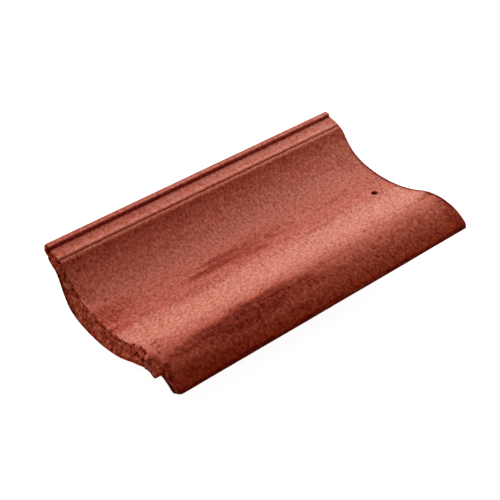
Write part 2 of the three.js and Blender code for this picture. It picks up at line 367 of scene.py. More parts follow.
@dataclass
class Section:
    """The tile's section: an upper outline, and an underside with a point for each point of the upper one.

    Attributes:
        sizes: the tile's dimensions.
        spacing: distance between points of the upper outline, in millimetres.
        recess_lead: how many points before the crown the underside turns in to the recess.
        upper: rows of x, z along the upper outline.
        shoulder: number of its point at the foot of the ledge's step.
        crown: number of its highest point.
        lip: number of the point where the lip's own arc begins.
    """

    sizes: TileSizes
    spacing: float = 1.15
    recess_lead: int = 4
    upper: np.ndarray = field(init=False)
    shoulder: int = field(init=False)
    crown: int = field(init=False)
    lip: int = field(init=False)

    def __post_init__(self) -> None:
        """Draw the upper outline from the rib to the lip."""
        s = self.sizes
        ledge = [
            (0.0, s.rib_height - 2 * s.rib_edge_radius, 0.0),
            (0.0, s.rib_height, s.rib_edge_radius),
            (s.rib_width, s.rib_height, s.rib_edge_radius),
            (s.ledge_start, 0.0, s.step_edge_radius),
            (s.ledge_end, 0.0, s.step_edge_radius),
            (s.ledge_end + s.step_draft, -s.step_height, 0.0),
        ]
        points = softened(ledge, self.spacing)
        self.shoulder = len(points) - 1
        pan = np.array([s.pan_centre, -s.pan_depth])
        crown = np.array([s.crown_x, s.crown_height])
        turn, radii = s_bend(points[-1], pan)
        points += arc(points[-1], 0.0, turn, s.shoulder_radius, self.spacing)
        points += arc(points[-1], turn, 0.0, radii - s.shoulder_radius, self.spacing)
        turn, radii = s_bend(pan, crown)
        points += arc(points[-1], 0.0, turn, radii - s.roll_radius, self.spacing)
        points += arc(points[-1], turn, 0.0, s.roll_radius, self.spacing)
        self.crown = len(points) - 1
        turn, radius = self.crown_fall()
        points += arc(points[-1], 0.0, turn, radius, self.spacing)
        self.lip = len(points) - 1
        points += arc(points[-1], turn, -math.pi / 2, s.lip_radius, self.spacing)
        points.append(np.array([s.width, s.lip_clearance]))
        self.upper = np.array(points)

    def crown_fall(self) -> tuple[float, float]:
        """The wide arc from the crown to where the lip's own arc begins.

        Returns:
            Its turn in radians and its radius in millimetres.
        """
        s = self.sizes
        run = s.width - s.crown_x - s.lip_radius
        drop = s.crown_height - s.lip_clearance - s.lip_face - s.lip_radius
        turn = -2 * math.atan2(drop, run)
        return turn, run / math.sin(-turn) + s.lip_radius

    def height(self, x: np.ndarray) -> np.ndarray:
        """Height of the upper surface at `x`."""
        return np.interp(x, self.upper[:, 0], self.upper[:, 1])

    def normals(self) -> np.ndarray:
        """Which way the upper outline looks.

        Returns:
            Rows of x, z of its unit normals, out of the tile.
        """
        along = np.gradient(self.upper, axis=0)
        along /= np.linalg.norm(along, axis=1)[:, None]
        return np.stack([-along[:, 1], along[:, 0]], axis=1)

    def skin_below(self, thickness: float) -> np.ndarray:
        """Points under the upper outline by a skin that thickens from the underlock on.

        Args:
            thickness: how thick it is from the middle of the pan on.

        Returns:
            One row of x, z for each point of the upper outline.
        """
        s = self.sizes
        grown = smoothstep(s.ledge_start, s.pan_centre, self.upper[:, 0])
        depth = s.underlock + (thickness - s.underlock) * grown
        return self.upper - self.normals() * depth[:, None]

    def nose_below(self) -> np.ndarray:
        """Points straight under the upper outline on the nose, which nests in the pan of the tile below.

        Returns:
            One row of x, z for each point of the upper outline.
        """
        s = self.sizes
        x = self.upper[:, 0]
        grown = smoothstep(s.ledge_start, s.ledge_start + s.nose_blend, x)
        full = s.underlock + (s.nose_pan - s.underlock) * grown
        waning = np.clip((x - s.pan_centre) / (s.crown_x - s.pan_centre), 0.0, None) ** 2
        return self.upper - np.stack([np.zeros_like(x), full + (s.nose_roll - full) * waning], axis=1)

    def underside(self, under: np.ndarray, rubbed: float = 0.0) -> np.ndarray:
        """The whole underside, from the underlock's chamfer to the lip's edge.

        Args:
            under: points under the upper outline, used from the shoulder to the crown.
            rubbed: how far the body is worn back beside the recess.

        Returns:
            One row of x, z for each point of the upper outline.
        """
        s = self.sizes
        turn_in = self.crown - self.recess_lead
        middle = under[self.shoulder + 1 : turn_in + 1]
        left = np.array([(0.0, s.chamfer_rise - s.underlock), (s.chamfer_run, -s.underlock), middle[0]])
        left = resampled(left, self.shoulder + 2, (1,))[:-1]
        ceiling = self.crown_fall()[1] - s.flange
        sag = ceiling - math.sqrt(ceiling**2 - (s.recess_top - s.crown_x) ** 2)
        foot = (s.recess_foot - rubbed, under[self.crown][1], s.recess_foot_radius + 2 * rubbed)
        top = (s.recess_top - rubbed, s.crown_height - s.flange - sag, 0.0)
        recess = softened([(*middle[-1], 0.0), foot, top], self.spacing / 2)
        flange = (self.upper - self.normals() * s.flange)[self.crown + 1 : self.lip + 1]
        flange = flange[flange[:, 0] > s.recess_top + self.spacing]
        right = np.array([*recess, *flange, (s.width - s.lip_edge, s.lip_clearance)])
        right = resampled(right, len(self.upper) - turn_in + 1, (len(recess) - 1, len(right) - 2))[1:]
        return np.concatenate([left, middle, right])


# ---- Box-shaped meshes ------------------------------------------------------------------------------


@dataclass
class BoxGrid:
    """The skin of a block of cells, as places in the block and faces between them.

    Attributes:
        across: cells along the first direction.
        deep: cells along the second, counted from the top down.
        along: cells along the third.
    """

    across: int
    deep: int
    along: int

    def __post_init__(self) -> None:
        """Number the places on the block's skin."""
        shape = (self.across + 1, self.deep + 1, self.along + 1)
        i, k, j = np.indices(shape)
        skin = (i == 0) | (i == self.across) | (k == 0) | (k == self.deep) | (j == 0) | (j == self.along)
        self.number = np.full(shape, -1)
        self.number[skin] = np.arange(skin.sum())
        self.places = np.stack([i[skin], k[skin], j[skin]], axis=1)

    def faces(self) -> np.ndarray:
        """The faces between the places, pointing out.

        Returns:
            Rows of four place numbers.
        """
        n = self.number
        sheets = [
            (n[:, 0, :], False),
            (n[:, -1, :], True),
            (n[0, :, :], True),
            (n[-1, :, :], False),
            (n[:, :, 0], True),
            (n[:, :, -1], False),
        ]
        quads = []
        for sheet, flipped in sheets:
            ring = [sheet[:-1, :-1], sheet[1:, :-1], sheet[1:, 1:], sheet[:-1, 1:]]
            ring = ring[::-1] if flipped else ring
            quads.append(np.stack([r.ravel() for r in ring], axis=1))
        return np.concatenate(quads)


def mesh_object(name: str, points: np.ndarray, faces: Iterable[Iterable[int]]) -> bpy.types.Object:
    """A new object from points in metres and the faces between them.

    Args:
        name: name of the object and its mesh.
        points: rows of x, y, z in metres.
        faces: point numbers of each face.

    Returns:
        The object, linked to the scene.
    """
    mesh = bpy.data.meshes.new(name)
    mesh.from_pydata(np.asarray(points).tolist(), [], [list(face) for face in faces])
    mesh.validate()
    mesh.update()
    thing = bpy.data.objects.new(name, mesh)
    bpy.context.collection.objects.link(thing)
    return thing


class Cut(Enum):
    """How one solid acts on another."""

    JOIN = "UNION"
    CUT = "DIFFERENCE"


def combine(body: bpy.types.Object, tool: bpy.types.Object, cut: Cut) -> None:
    """Join `tool` to `body` or cut it away, and delete `tool`.

    Args:
        body: the object that changes.
        tool: the solid that acts on it.
        cut: what it does.
    """
    modifier = body.modifiers.new(tool.name, "BOOLEAN")
    modifier.operation = cut.value
    modifier.solver = "MANIFOLD"
    modifier.object = tool
    evaluated = body.evaluated_get(bpy.context.evaluated_depsgraph_get())
    mesh = bpy.data.meshes.new_from_object(evaluated)
    if len(mesh.vertices) == len(body.data.vertices):
        raise RuntimeError(f"{tool.name} did nothing to {body.name}")
    body.modifiers.clear()
    old, body.data = body.data, mesh
    mesh.name = old.name
    bpy.data.meshes.remove(old)
    bpy.data.objects.remove(tool)


# ---- Wear -------------------------------------------------------------------------------------------


class Layer(IntEnum):
    """Steps from the tile's seed to the noise of each kind of wear, so that none repeats another."""

    CRUMBS = 20
    EDGES = 40
    RIPPLES = 60
    SWELLS = 70
    DRIFT = 80


class Mark(Enum):
    """What the mesh carries for the finish to read: a value from 0 to 1 for each point of the skin."""

    WEATHER = "weather"
    # The smudge mark also carries painted shade beside the recess.
    SMUDGE_AND_SHADE = "smudge"
    TORN = "torn"
    # The pitted mark darkens the pits with painted shade.
    PIT_SHADE = "pitted"
    COARSE = "coarse"
    # The soot mark is mostly painted shade, with some soot.
    SOOT_AND_SHADE = "soot"


@dataclass(frozen=True)
class Skin:
    """Points of the tile's skin in the roof frame, in millimetres, with the unit normal at each.

    `below` is the depth of each point under the upper outline.
    """

    points: np.ndarray
    normals: np.ndarray
    below: np.ndarray

    @property
    def x(self) -> np.ndarray:
        """Places across the tile."""
        return self.points[:, 0]

    @property
    def y(self) -> np.ndarray:
        """Distances from the tail."""
        return self.points[:, 1]

    @property
    def z(self) -> np.ndarray:
        """Heights above the ledge."""
        return self.points[:, 2]


@dataclass(frozen=True)
class Pit:
    """A hole that a pulled-out grain left in the torn end: its place, width and depth, in millimetres."""

    x: float
    below: float
    radius: float
    depth: float


@dataclass(frozen=True)
class SmallPits:
    """The many small pits, which lie anywhere on the torn end down to `deepest`.

    They gather near its upper edge as `gather` rises above 1. The depth of each is a share of its radius.
    """

    count: int = 120
    start: float = 8.0
    past_crown: float = 6.0
    deepest: Profile = ((8, 7), (50, 19), (140, 20), (206, 12))
    gather: float = 1.4
    radius: Span = (0.9, 1.5)
    depth: float = 1.2

    def scattered(self, crown_x: float, seed: int) -> list[Pit]:
        """The pits, each in a place of its own.

        Args:
            crown_x: where the roll is highest.
            seed: which scatter.

        Returns:
            The pits.
        """
        random = np.random.default_rng(seed)
        xs = random.uniform(self.start, crown_x + self.past_crown, self.count)
        belows = level_at(self.deepest, xs) * random.uniform(0.0, 1.0, self.count) ** self.gather
        radii = random.uniform(*self.radius, self.count)
        return [Pit(x, below, radius, self.depth * radius) for x, below, radius in zip(xs, belows, radii)]


@dataclass(frozen=True)
class Chip:
    """A stretch of an edge of the tail that broke away, with its middle at `x` and `reach` to either side.

    It goes `back` from the end and `depth` in from the edge. The core is the share that went back in full.
    """

    x: float
    reach: float
    back: float
    depth: float = 4.0
    core: float = 0.35

    def broken(self, x: np.ndarray, inward: np.ndarray) -> np.ndarray:
        """How far the chip moves points back.

        Args:
            x: place of each point across the tile.
            inward: distance of each point from the surface that meets the torn end at the chipped edge.

        Returns:
            The depth in millimetres.
        """
        near = 1 - smoothstep(self.core * self.reach, self.reach, np.abs(x - self.x))
        return self.back * near * (1 - smoothstep(0.0, self.depth, inward))


@dataclass(frozen=True)
class Ridge:
    """An upright ridge that the tearing left on the end.

    It stands at `x` at the upper edge, moves across by `lean` for each millimetre down, and rises between two
    depths. Each flank has a half width of its own. A strip along the ridge is drawn paler, a painted
    highlight.
    """

    x: float = 180.0
    proud: float = 2.8
    lean: float = 0.3
    near_flank: float = 1.4
    far_flank: float = 3.0
    rise: Span = (0.5, 3.0)
    strip: float = 1.6

    def aside(self, x: np.ndarray, below: np.ndarray) -> np.ndarray:
        """How far across from the ridge each point lies."""
        return x - self.x - self.lean * below

    def height(self, x: np.ndarray, below: np.ndarray) -> np.ndarray:
        """How far the ridge stands out.

        Args:
            x: place of each point across the tile.
            below: depth of each point under the upper outline.

        Returns:
            The height in millimetres.
        """
        aside = self.aside(x, below)
        width = np.where(aside < 0, self.near_flank, self.far_flank)
        return self.proud * bell(aside, width) * smoothstep(*self.rise, below)


@dataclass(frozen=True)
class Flake:
    """A shallow flake off the weather face at the tail.

    Its core went to the full depth, and the body follows the lowered face down to `settle`. Skin that looks
    up squarely enough belongs to it. Part of it is bare clay, without most of the pits' painted shade.
    """

    x: float = 189.0
    y: float = 0.0
    half_width: float = 12.0
    half_length: float = 7.0
    depth: float = 1.4
    core: float = 0.2
    settle: float = 14.0
    facing: Span = (0.3, 0.6)
    bare: float = 0.5
    pits_lost: float = 0.6

    def gone(self, x: np.ndarray, y: np.ndarray) -> np.ndarray:
        """How much of its full depth the flake has at each place, from 0 to 1."""
        away = np.hypot((x - self.x) / self.half_width, (y - self.y) / self.half_length)
        return 1 - smoothstep(self.core, 1.0, away)

    def drop(self, points: np.ndarray, depth: np.ndarray) -> np.ndarray:
        """How far the flake lowers each point, at its depth in the body."""
        return self.depth * self.gone(points[:, 0], points[:, 1]) * (1 - smoothstep(0.0, self.settle, depth))

    def bared(self, skin: Skin) -> np.ndarray:
        """How much of each point of the skin the flake took, from 0 to 1."""
        return self.gone(skin.x, skin.y) * smoothstep(*self.facing, skin.normals[:, 2])


@dataclass(frozen=True)
class TornEnd:
    """The tail end, which tears where the cutter pulls one tile off the next.

    Attributes:
        tear: how rough it is.
        lump: size of its lumps.
        crumb: size of the crumbs on them.
        reach: how far behind the end the roughness fades out.
        corner_reach: how far back the turned corner of the lip fades out, as a multiple of its radius.
        foot_fade: heights above the lower edge between which the roughness begins.
        ridge: the upright ridge on it.
        flake: where the weather face flaked off beside the ridge.
        pits: the large pits.
        small_pits: the small ones.
        pit_start: how far under the upper edge the pits have their full depth.
        chips: where the upper edge is broken back.
        lower_chips: where the lower edge is.
        facing: how squarely the skin must look towards the tail to be torn.
        skin_start: distances from the tail between which the whole skin begins.
        pale_edge: how much paler the torn clay is drawn just under the upper edge, a painted highlight.
        pale_start: where that pale edge begins across the tile.
        pale_end: how far past the ridge it ends.
        pale_depth: how deep it goes.
        pale_ridge: how much paler it is drawn along the ridge, a painted highlight.
        pit_shows: depths of a pit between which its painted shade comes in.
        pit_shade: how dark that painted shade goes.
        recess_shade: how much painted shade the torn clay has beside the recess.
    """

    tear: float = 0.9
    lump: float = 7.0
    crumb: float = 2.4
    reach: float = 8.0
    corner_reach: float = 3.0
    foot_fade: Span = (0.3, 3.0)
    ridge: Ridge = Ridge()
    flake: Flake = Flake()
    pits: tuple[Pit, ...] = (
        Pit(25, 1.6, 2.0, 2.0),
        Pit(31, 3.5, 1.8, 2.0),
        Pit(37, 1.8, 2.2, 2.2),
        Pit(44, 1.4, 2.2, 2.4),
        Pit(51, 2.5, 2.4, 2.6),
        Pit(58, 2.0, 2.0, 2.2),
        Pit(73, 6.4, 1.8, 1.8),
        Pit(86, 5, 1.8, 1.6),
        Pit(95, 3.5, 2.4, 2.4),
        Pit(105, 3.5, 2.2, 2.2),
        Pit(111, 7, 2.0, 2.0),
        Pit(135, 3.5, 2.2, 2.2),
        Pit(144.5, 2.7, 2.0, 2.0),
        Pit(154, 1.5, 2.2, 2.2),
        Pit(157, 9, 2.0, 2.0),
        Pit(163, 10, 2.0, 2.0),
        Pit(166.5, 1.8, 2.6, 2.6),
        Pit(172, 1.8, 2.2, 2.4),
        Pit(175.7, 3.2, 2.2, 2.6),
        Pit(176.8, 11, 2.4, 2.4),
        Pit(183.8, 5.6, 2.2, 2.2),
        Pit(186.5, 9.3, 2.0, 2.0),
        Pit(190.5, 11, 2.0, 2.0),
        Pit(187.5, 2.4, 2.2, 2.4),
        Pit(195, 2.4, 2.2, 2.4),
        Pit(199.5, 3.2, 2.2, 2.2),
    )
    small_pits: SmallPits = SmallPits()
    pit_start: float = 2.0
    chips: tuple[Chip, ...] = (
        Chip(30, 8, 1.2, 3.0),
        Chip(47, 7, 1.4, 3.5),
        Chip(82, 7, 1.2),
        Chip(119, 5, 1.4, 3.0),
        Chip(158, 13, 2.2, 5.0),
        Chip(170, 8, 1.4, 5.0),
    )
    lower_chips: tuple[Chip, ...] = (
        Chip(3, 9, 1.6, 5.0),
        Chip(184, 13, 1.5, 5.0),
    )
    facing: Span = (0.2, 0.55)
    skin_start: Span = (9.0, 12.0)
    pale_edge: float = 0.4
    pale_start: Span = (60.0, 75.0)
    pale_end: float = 4.0
    pale_depth: Span = (1.0, 2.2)
    pale_ridge: float = 0.8
    pit_shows: Span = (0.1, 1.1)
    pit_shade: float = 0.7
    recess_shade: float = 0.6

    def depth(self, flat: np.ndarray, below: np.ndarray, seed: int) -> np.ndarray:
        """How far the rough face, its chips and its ridge lie behind the ideal end.

        Args:
            flat: rows of x, z.
            below: depth of each point under the upper outline.
            seed: which tile of the batch.

        Returns:
            The depth in millimetres.
        """
        rows = np.stack([flat[:, 0], np.zeros(len(flat)), flat[:, 1]], axis=1)
        lumps = 0.5 + 0.5 * rough_noise(rows, self.lump, seed)
        depth = self.tear * (lumps + 0.5 * (1 + value_noise(rows, self.crumb, seed + Layer.CRUMBS)))
        depth += sum(chip.broken(flat[:, 0], below) for chip in self.chips)
        return depth - self.ridge.height(flat[:, 0], below)

    def pit_depth(self, x: np.ndarray, below: np.ndarray, crown_x: float, seed: int) -> np.ndarray:
        """How deep the pits are.

        Args:
            x: place of each point across the tile.
            below: depth of each point under the upper outline.
            crown_x: where the roll is highest.
            seed: which tile of the batch.

        Returns:
            The depth in millimetres.
        """
        depth = np.zeros(len(x))
        for pit in [*self.pits, *self.small_pits.scattered(crown_x, seed)]:
            away = np.hypot(x - pit.x, below - pit.below) / pit.radius
            depth = np.maximum(depth, pit.depth * np.clip(1 - away**2, 0.0, None))
        return depth * smoothstep(0.0, self.pit_start, below)

    def bare(self, skin: Skin) -> np.ndarray:
        """How much of the pressed skin is gone at each point, from 0 to 1."""
        return smoothstep(*self.facing, -skin.normals[:, 1]) * (1 - smoothstep(*self.skin_start, skin.y))

    def edge_highlight(self, skin: Skin) -> np.ndarray:
        """How much paler the torn clay is drawn under its upper edge and along the ridge, a painted
        highlight.

        Args:
            skin: the tile's skin.

        Returns:
            A value from 0 to 1 for each point.
        """
        ridge = self.ridge
        beyond = smoothstep(ridge.x, ridge.x + self.pale_end, skin.x)
        across = smoothstep(*self.pale_start, skin.x) * (1 - beyond)
        edge = across * (1 - smoothstep(*self.pale_depth, skin.below))
        strip = bell(ridge.aside(skin.x, skin.below), ridge.strip)
        return np.maximum(self.pale_edge * edge, self.pale_ridge * strip)


@dataclass(frozen=True)
class Waves:
    """How far the skin lies under its ideal surface, and how much wide swells and long ripples change that.

    The die holds the rib and the ledge truer. Past the ledge the skin soon is as uneven as elsewhere.
    """

    depth: float = 0.22
    wide: float = 0.6
    wide_cell: float = 34.0
    long: float = 0.4
    long_cells: tuple[float, float, float] = (9.0, 70.0, 9.0)
    on_ledge: float = 0.35
    ledge_fade: float = 12.0

    def sunk(self, points: np.ndarray, ledge_end: float, seed: int) -> np.ndarray:
        """How far each point lies under the ideal surface.

        Args:
            points: rows of x, y, z.
            ledge_end: where the ledge ends across the tile.
            seed: which tile of the batch.

        Returns:
            The depth in millimetres.
        """
        ripples = value_noise(points, np.array(self.long_cells), seed + Layer.RIPPLES)
        swells = rough_noise(points, self.wide_cell, seed + Layer.SWELLS)
        loose = smoothstep(ledge_end, ledge_end + self.ledge_fade, points[:, 0])
        loose = self.on_ledge + (1 - self.on_ledge) * loose
        return self.depth * (1 + self.wide * swells + self.long * ripples) * loose


@dataclass(frozen=True)
class WeatherFace:
    """The pressed face that the weather reaches, to a depth under the upper outline and all over the lip.

    Its grain is coarsest at the tail, fades out up the tile, and is partly coarse again past the crown.
    """

    depth: Span = (1.0, 3.0)
    lip: Span = (10.0, 8.0)
    coarse_tail: float = 60.0
    coarse_roll: float = 0.6
    coarse_run: float = 16.0

    def pressed(self, skin: Skin, width: float) -> np.ndarray:
        """How much each point belongs to the weather face, from 0 to 1, on a tile of this width."""
        lip = smoothstep(*(width - inward for inward in self.lip), skin.x)
        return np.maximum(1 - smoothstep(*self.depth, skin.below), lip)

    def coarse(self, skin: Skin, crown_x: float) -> np.ndarray:
        """How coarse the grain is at each point, on a tile with its crown at `crown_x`."""
        roll = self.coarse_roll * smoothstep(crown_x - self.coarse_run, crown_x, skin.x)
        return np.maximum(1 - smoothstep(0.0, self.coarse_tail, skin.y), roll)


@dataclass(frozen=True)
class SootAndShade:
    """Painted shade, with some soot and dust, in the corners and along the edges.

    It lies on the head's rim, more widely on the roll's flank and more faintly down the cut face. On the
    torn end it lies along its foot as a painted contact shadow, in a line under its upper edge as that edge's
    painted shadow, and beside the rib. It also lines the nail hole as painted shade inside it.
    """

    rim: float = 4.4
    rim_growth: float = 0.7
    rim_grows: Span = (190.0, 212.0)
    rim_core: float = 0.45
    rim_level: Profile = ((38, 0.1), (60, 0.8), (100, 1.0), (205, 1.0), (218, 0.3))
    rim_drop: float = 0.8
    rim_depth: Span = (1.0, 5.0)
    foot: float = 0.85
    foot_reach: Span = (1.0, 3.4)
    brow_depth: float = 3.2
    brow_width: float = 1.2
    brow_level: Profile = ((60, 0.0), (88, 0.55), (175, 0.55), (179, 0.0))
    face_level: Profile = ((7, 0.65), (10, 0.35), (18, 0.3), (34, 0.0))
    bore: float = 0.75
    bore_margin: float = 1.2
    bore_depth: Span = (0.3, 0.9)

    def at_head(self, skin: Skin, length: float) -> np.ndarray:
        """How much painted shade, with some soot, lies on the head's rim.

        Args:
            skin: the tile's skin.
            length: the tile's length.

        Returns:
            A value from 0 to 1 for each point.
        """
        rim = self.rim * (1 + self.rim_growth * smoothstep(*self.rim_grows, skin.x))
        inward = smoothstep(length - rim, length - self.rim_core * rim, skin.y)
        soot = level_at(self.rim_level, skin.x) * inward
        return soot * (1 - self.rim_drop * smoothstep(*self.rim_depth, skin.below))

    def on_torn_end(self, skin: Skin, foot_line: np.ndarray) -> np.ndarray:
        """How much painted shade, with some soot, lies on the torn end at each point.

        Args:
            skin: the tile's skin.
            foot_line: rows of x, z along the end's lower edge.

        Returns:
            A value from 0 to 1 for each point.
        """
        foot = 1 - smoothstep(*self.foot_reach, distance_to_line(skin.x, skin.z, foot_line))
        brow = level_at(self.brow_level, skin.x) * bell(skin.below - self.brow_depth, self.brow_width)
        return np.maximum(self.foot * foot, np.maximum(brow, level_at(self.face_level, skin.x)))

    def in_nail_hole(self, skin: Skin, sizes: TileSizes) -> np.ndarray:
        """How much painted shade, with some soot, lines the nail hole's wall.

        Args:
            skin: the tile's skin.
            sizes: the tile's dimensions.

        Returns:
            A value from 0 to 1 for each point.
        """
        from_nail = np.hypot(skin.x - sizes.hole_x, skin.y - sizes.length + sizes.hole_from_head)
        inside = from_nail < sizes.hole_radius + self.bore_margin
        return self.bore * (inside * smoothstep(*self.bore_depth, skin.below))


@dataclass(frozen=True)
class Smudge:
    """A smoky patch on the weather face: its middle, half width, half length, strength and even core."""

    x: float
    y: float
    half_width: float
    half_length: float
    strength: float
    core: float = 0.35


@dataclass(frozen=True)
class Smoke:
    """What the kiln's smoke left on the weather face: long patches that follow the flame along the tile.

    Several patches that overlap make one of a free shape. Each has faded out at `edge` times its half width
    and length, and `drift` makes its border wander across the tile.
    """

    edge: float = 1.15
    drift: float = 1.6
    drift_cells: tuple[float, float, float] = (14.0, 45.0, 14.0)
    patches: tuple[Smudge, ...] = (
        Smudge(190.5, 124, 10.0, 52, 0.73, 0.42),
        Smudge(182.5, 103, 6.0, 18, 0.5, 0.4),
        Smudge(184.0, 148, 6.0, 20, 0.5, 0.4),
        Smudge(187.0, 170, 5.0, 18, 0.42, 0.4),
        Smudge(195.0, 87, 3.0, 9, 0.6),
        Smudge(187.0, 87, 4.0, 12, 0.6),
        Smudge(188.5, 176, 3.0, 26, 0.4),
        Smudge(187.8, 157, 2.2, 38, 0.28, 0.4),
        Smudge(193.0, 64, 9.0, 38, 0.62, 0.35),
        Smudge(191.0, 171, 8.5, 26, 0.50, 0.35),
        Smudge(188.0, 215, 3.6, 34, 0.22),
        Smudge(199.0, 108, 11.0, 66, 0.45, 0.65),
        Smudge(203.0, 98, 5.5, 28, 0.60, 0.5),
        Smudge(197.5, 36, 5.5, 34, 0.45),
        Smudge(200.5, 182, 6.0, 34, 0.32),
        Smudge(220.0, 62, 9.0, 34, 0.15),
        Smudge(213.0, 30, 5.0, 28, 0.22),
        Smudge(221.0, 23, 5.0, 12, 0.3),
        Smudge(206.0, 371, 5.0, 8, 0.34),
        Smudge(224.0, 50, 3.0, 34, 0.25),
        Smudge(219.0, 159, 4.0, 9, 0.3),
        Smudge(206.0, 220, 4.0, 12, 0.25),
        Smudge(14.5, 70, 2.6, 48, 0.14),
        Smudge(13.0, 25, 3.0, 13, 0.2),
        Smudge(97.0, 155, 5.0, 38, 0.5),
        Smudge(106.0, 140, 5.5, 48, 0.62, 0.4),
        Smudge(103.0, 167, 11.0, 46, 0.38, 0.5),
        Smudge(98.0, 200, 11.0, 46, 0.22),
        Smudge(112.0, 185, 6.0, 26, 0.36),
        Smudge(106.5, 214, 3.0, 28, 0.25),
        Smudge(120.0, 161, 9.0, 9, 0.15),
        Smudge(97.0, 12, 15.0, 19, 0.42, 0.5),
        Smudge(104.0, 4, 9.0, 9, 0.35),
        Smudge(86.0, 11, 5.0, 14, 0.5),
        Smudge(92.0, 30, 11.0, 22, 0.2),
        Smudge(108.0, 24, 6.0, 12, 0.18),
        Smudge(64.0, 9, 16.0, 8, 0.24),
        Smudge(119.0, 13, 8.0, 16, 0.26),
        Smudge(127.0, 98, 9.0, 34, 0.18),
        Smudge(128.5, 256, 3.5, 34, 0.26),
        Smudge(101.0, 306, 2.6, 26, 0.12),
        Smudge(34.0, 292, 3.0, 7, 0.3),
        Smudge(30.0, 281, 1.5, 22, 0.25),
        Smudge(37.5, 342, 3.0, 5, 0.3),
        Smudge(66.0, 362, 16.0, 15, 0.16),
        Smudge(169.5, 15.5, 2.2, 5.0, 0.75, 0.2),
        Smudge(178.0, 14.5, 2.0, 5.0, 0.65, 0.2),
        Smudge(162.0, 5, 13.0, 13, 0.14),
        Smudge(172.0, 18, 7.0, 13, 0.2),
        Smudge(193.5, -1, 11.0, 8, 0.4, 0.4),
        Smudge(203.0, 2, 6.0, 11, 0.45),
        Smudge(212.0, 1, 10.0, 8, 0.4),
        Smudge(173.0, 380, 5.0, 12, 0.65, 0.5),
        Smudge(176.0, 368, 5.0, 14, 0.4),
        Smudge(191.0, 377, 12.0, 12, 0.28),
        Smudge(217.0, 371, 12.0, 7, 0.24),
        Smudge(226.0, 371, 6.0, 8, 0.34),
    )

    def taken_up(self, skin: Skin, seed: int) -> np.ndarray:
        """How much smoke the skin took up.

        Args:
            skin: the tile's skin.
            seed: which tile of the batch.

        Returns:
            A value from 0 to 1 for each point.
        """
        drift = self.drift * value_noise(skin.points, np.array(self.drift_cells), seed + Layer.DRIFT)
        smoke = np.zeros(len(drift))
        for patch in self.patches:
            across = (skin.x + drift - patch.x) / patch.half_width
            away = np.hypot(across, (skin.y - patch.y) / patch.half_length)
            smoke = np.maximum(smoke, patch.strength * (1 - smoothstep(patch.core, self.edge, away)))
        return smoke


@dataclass(frozen=True)
class Wear:
    """What cutting, firing and handling left on this tile, in millimetres, with its painted shade and
    highlights.

    Attributes:
        tail_edge: rounding of the torn end's upper edge.
        cut_edge: rounding of the other end edges.
        edge_swing: how much those roundings change along the edge, as a share of them.
        edge_cell: how far apart those changes lie.
        rubbed: how far handling wore the nose back beside the recess.
        nib_edge: rounding of the nibs' edges.
        punch: levels of the nail punch over the weather face, and how far the hole's lip gives way at each.
        lip_swing: how much that lip changes round the hole, as a share of it.
        lip_ring: radius of the circle on which those changes are laid out.
        lip_cell: how far apart they lie on it.
        end: the torn end.
        waves: the uneven skin.
        face: the weather face.
        soot: the painted shade, with some soot, in its corners and along its edges.
        smoke: the smoky patches on it.
    """

    tail_edge: float = 1.3
    cut_edge: float = 0.6
    edge_swing: float = 0.5
    edge_cell: float = 9.0
    rubbed: float = 1.3
    nib_edge: float = 1.5
    punch: Profile = ((-30.0, 0.0), (-1.6, 0.0), (-0.7, 0.15), (-0.2, 0.5), (0.4, 0.9), (4.0, 3.0))
    lip_swing: float = 0.5
    lip_ring: float = 3.0
    lip_cell: float = 1.7
    end: TornEnd = TornEnd()
    waves: Waves = Waves()
    face: WeatherFace = WeatherFace()
    soot: SootAndShade = SootAndShade()
    smoke: Smoke = Smoke()


# ---- Tile -------------------------------------------------------------------------------------------


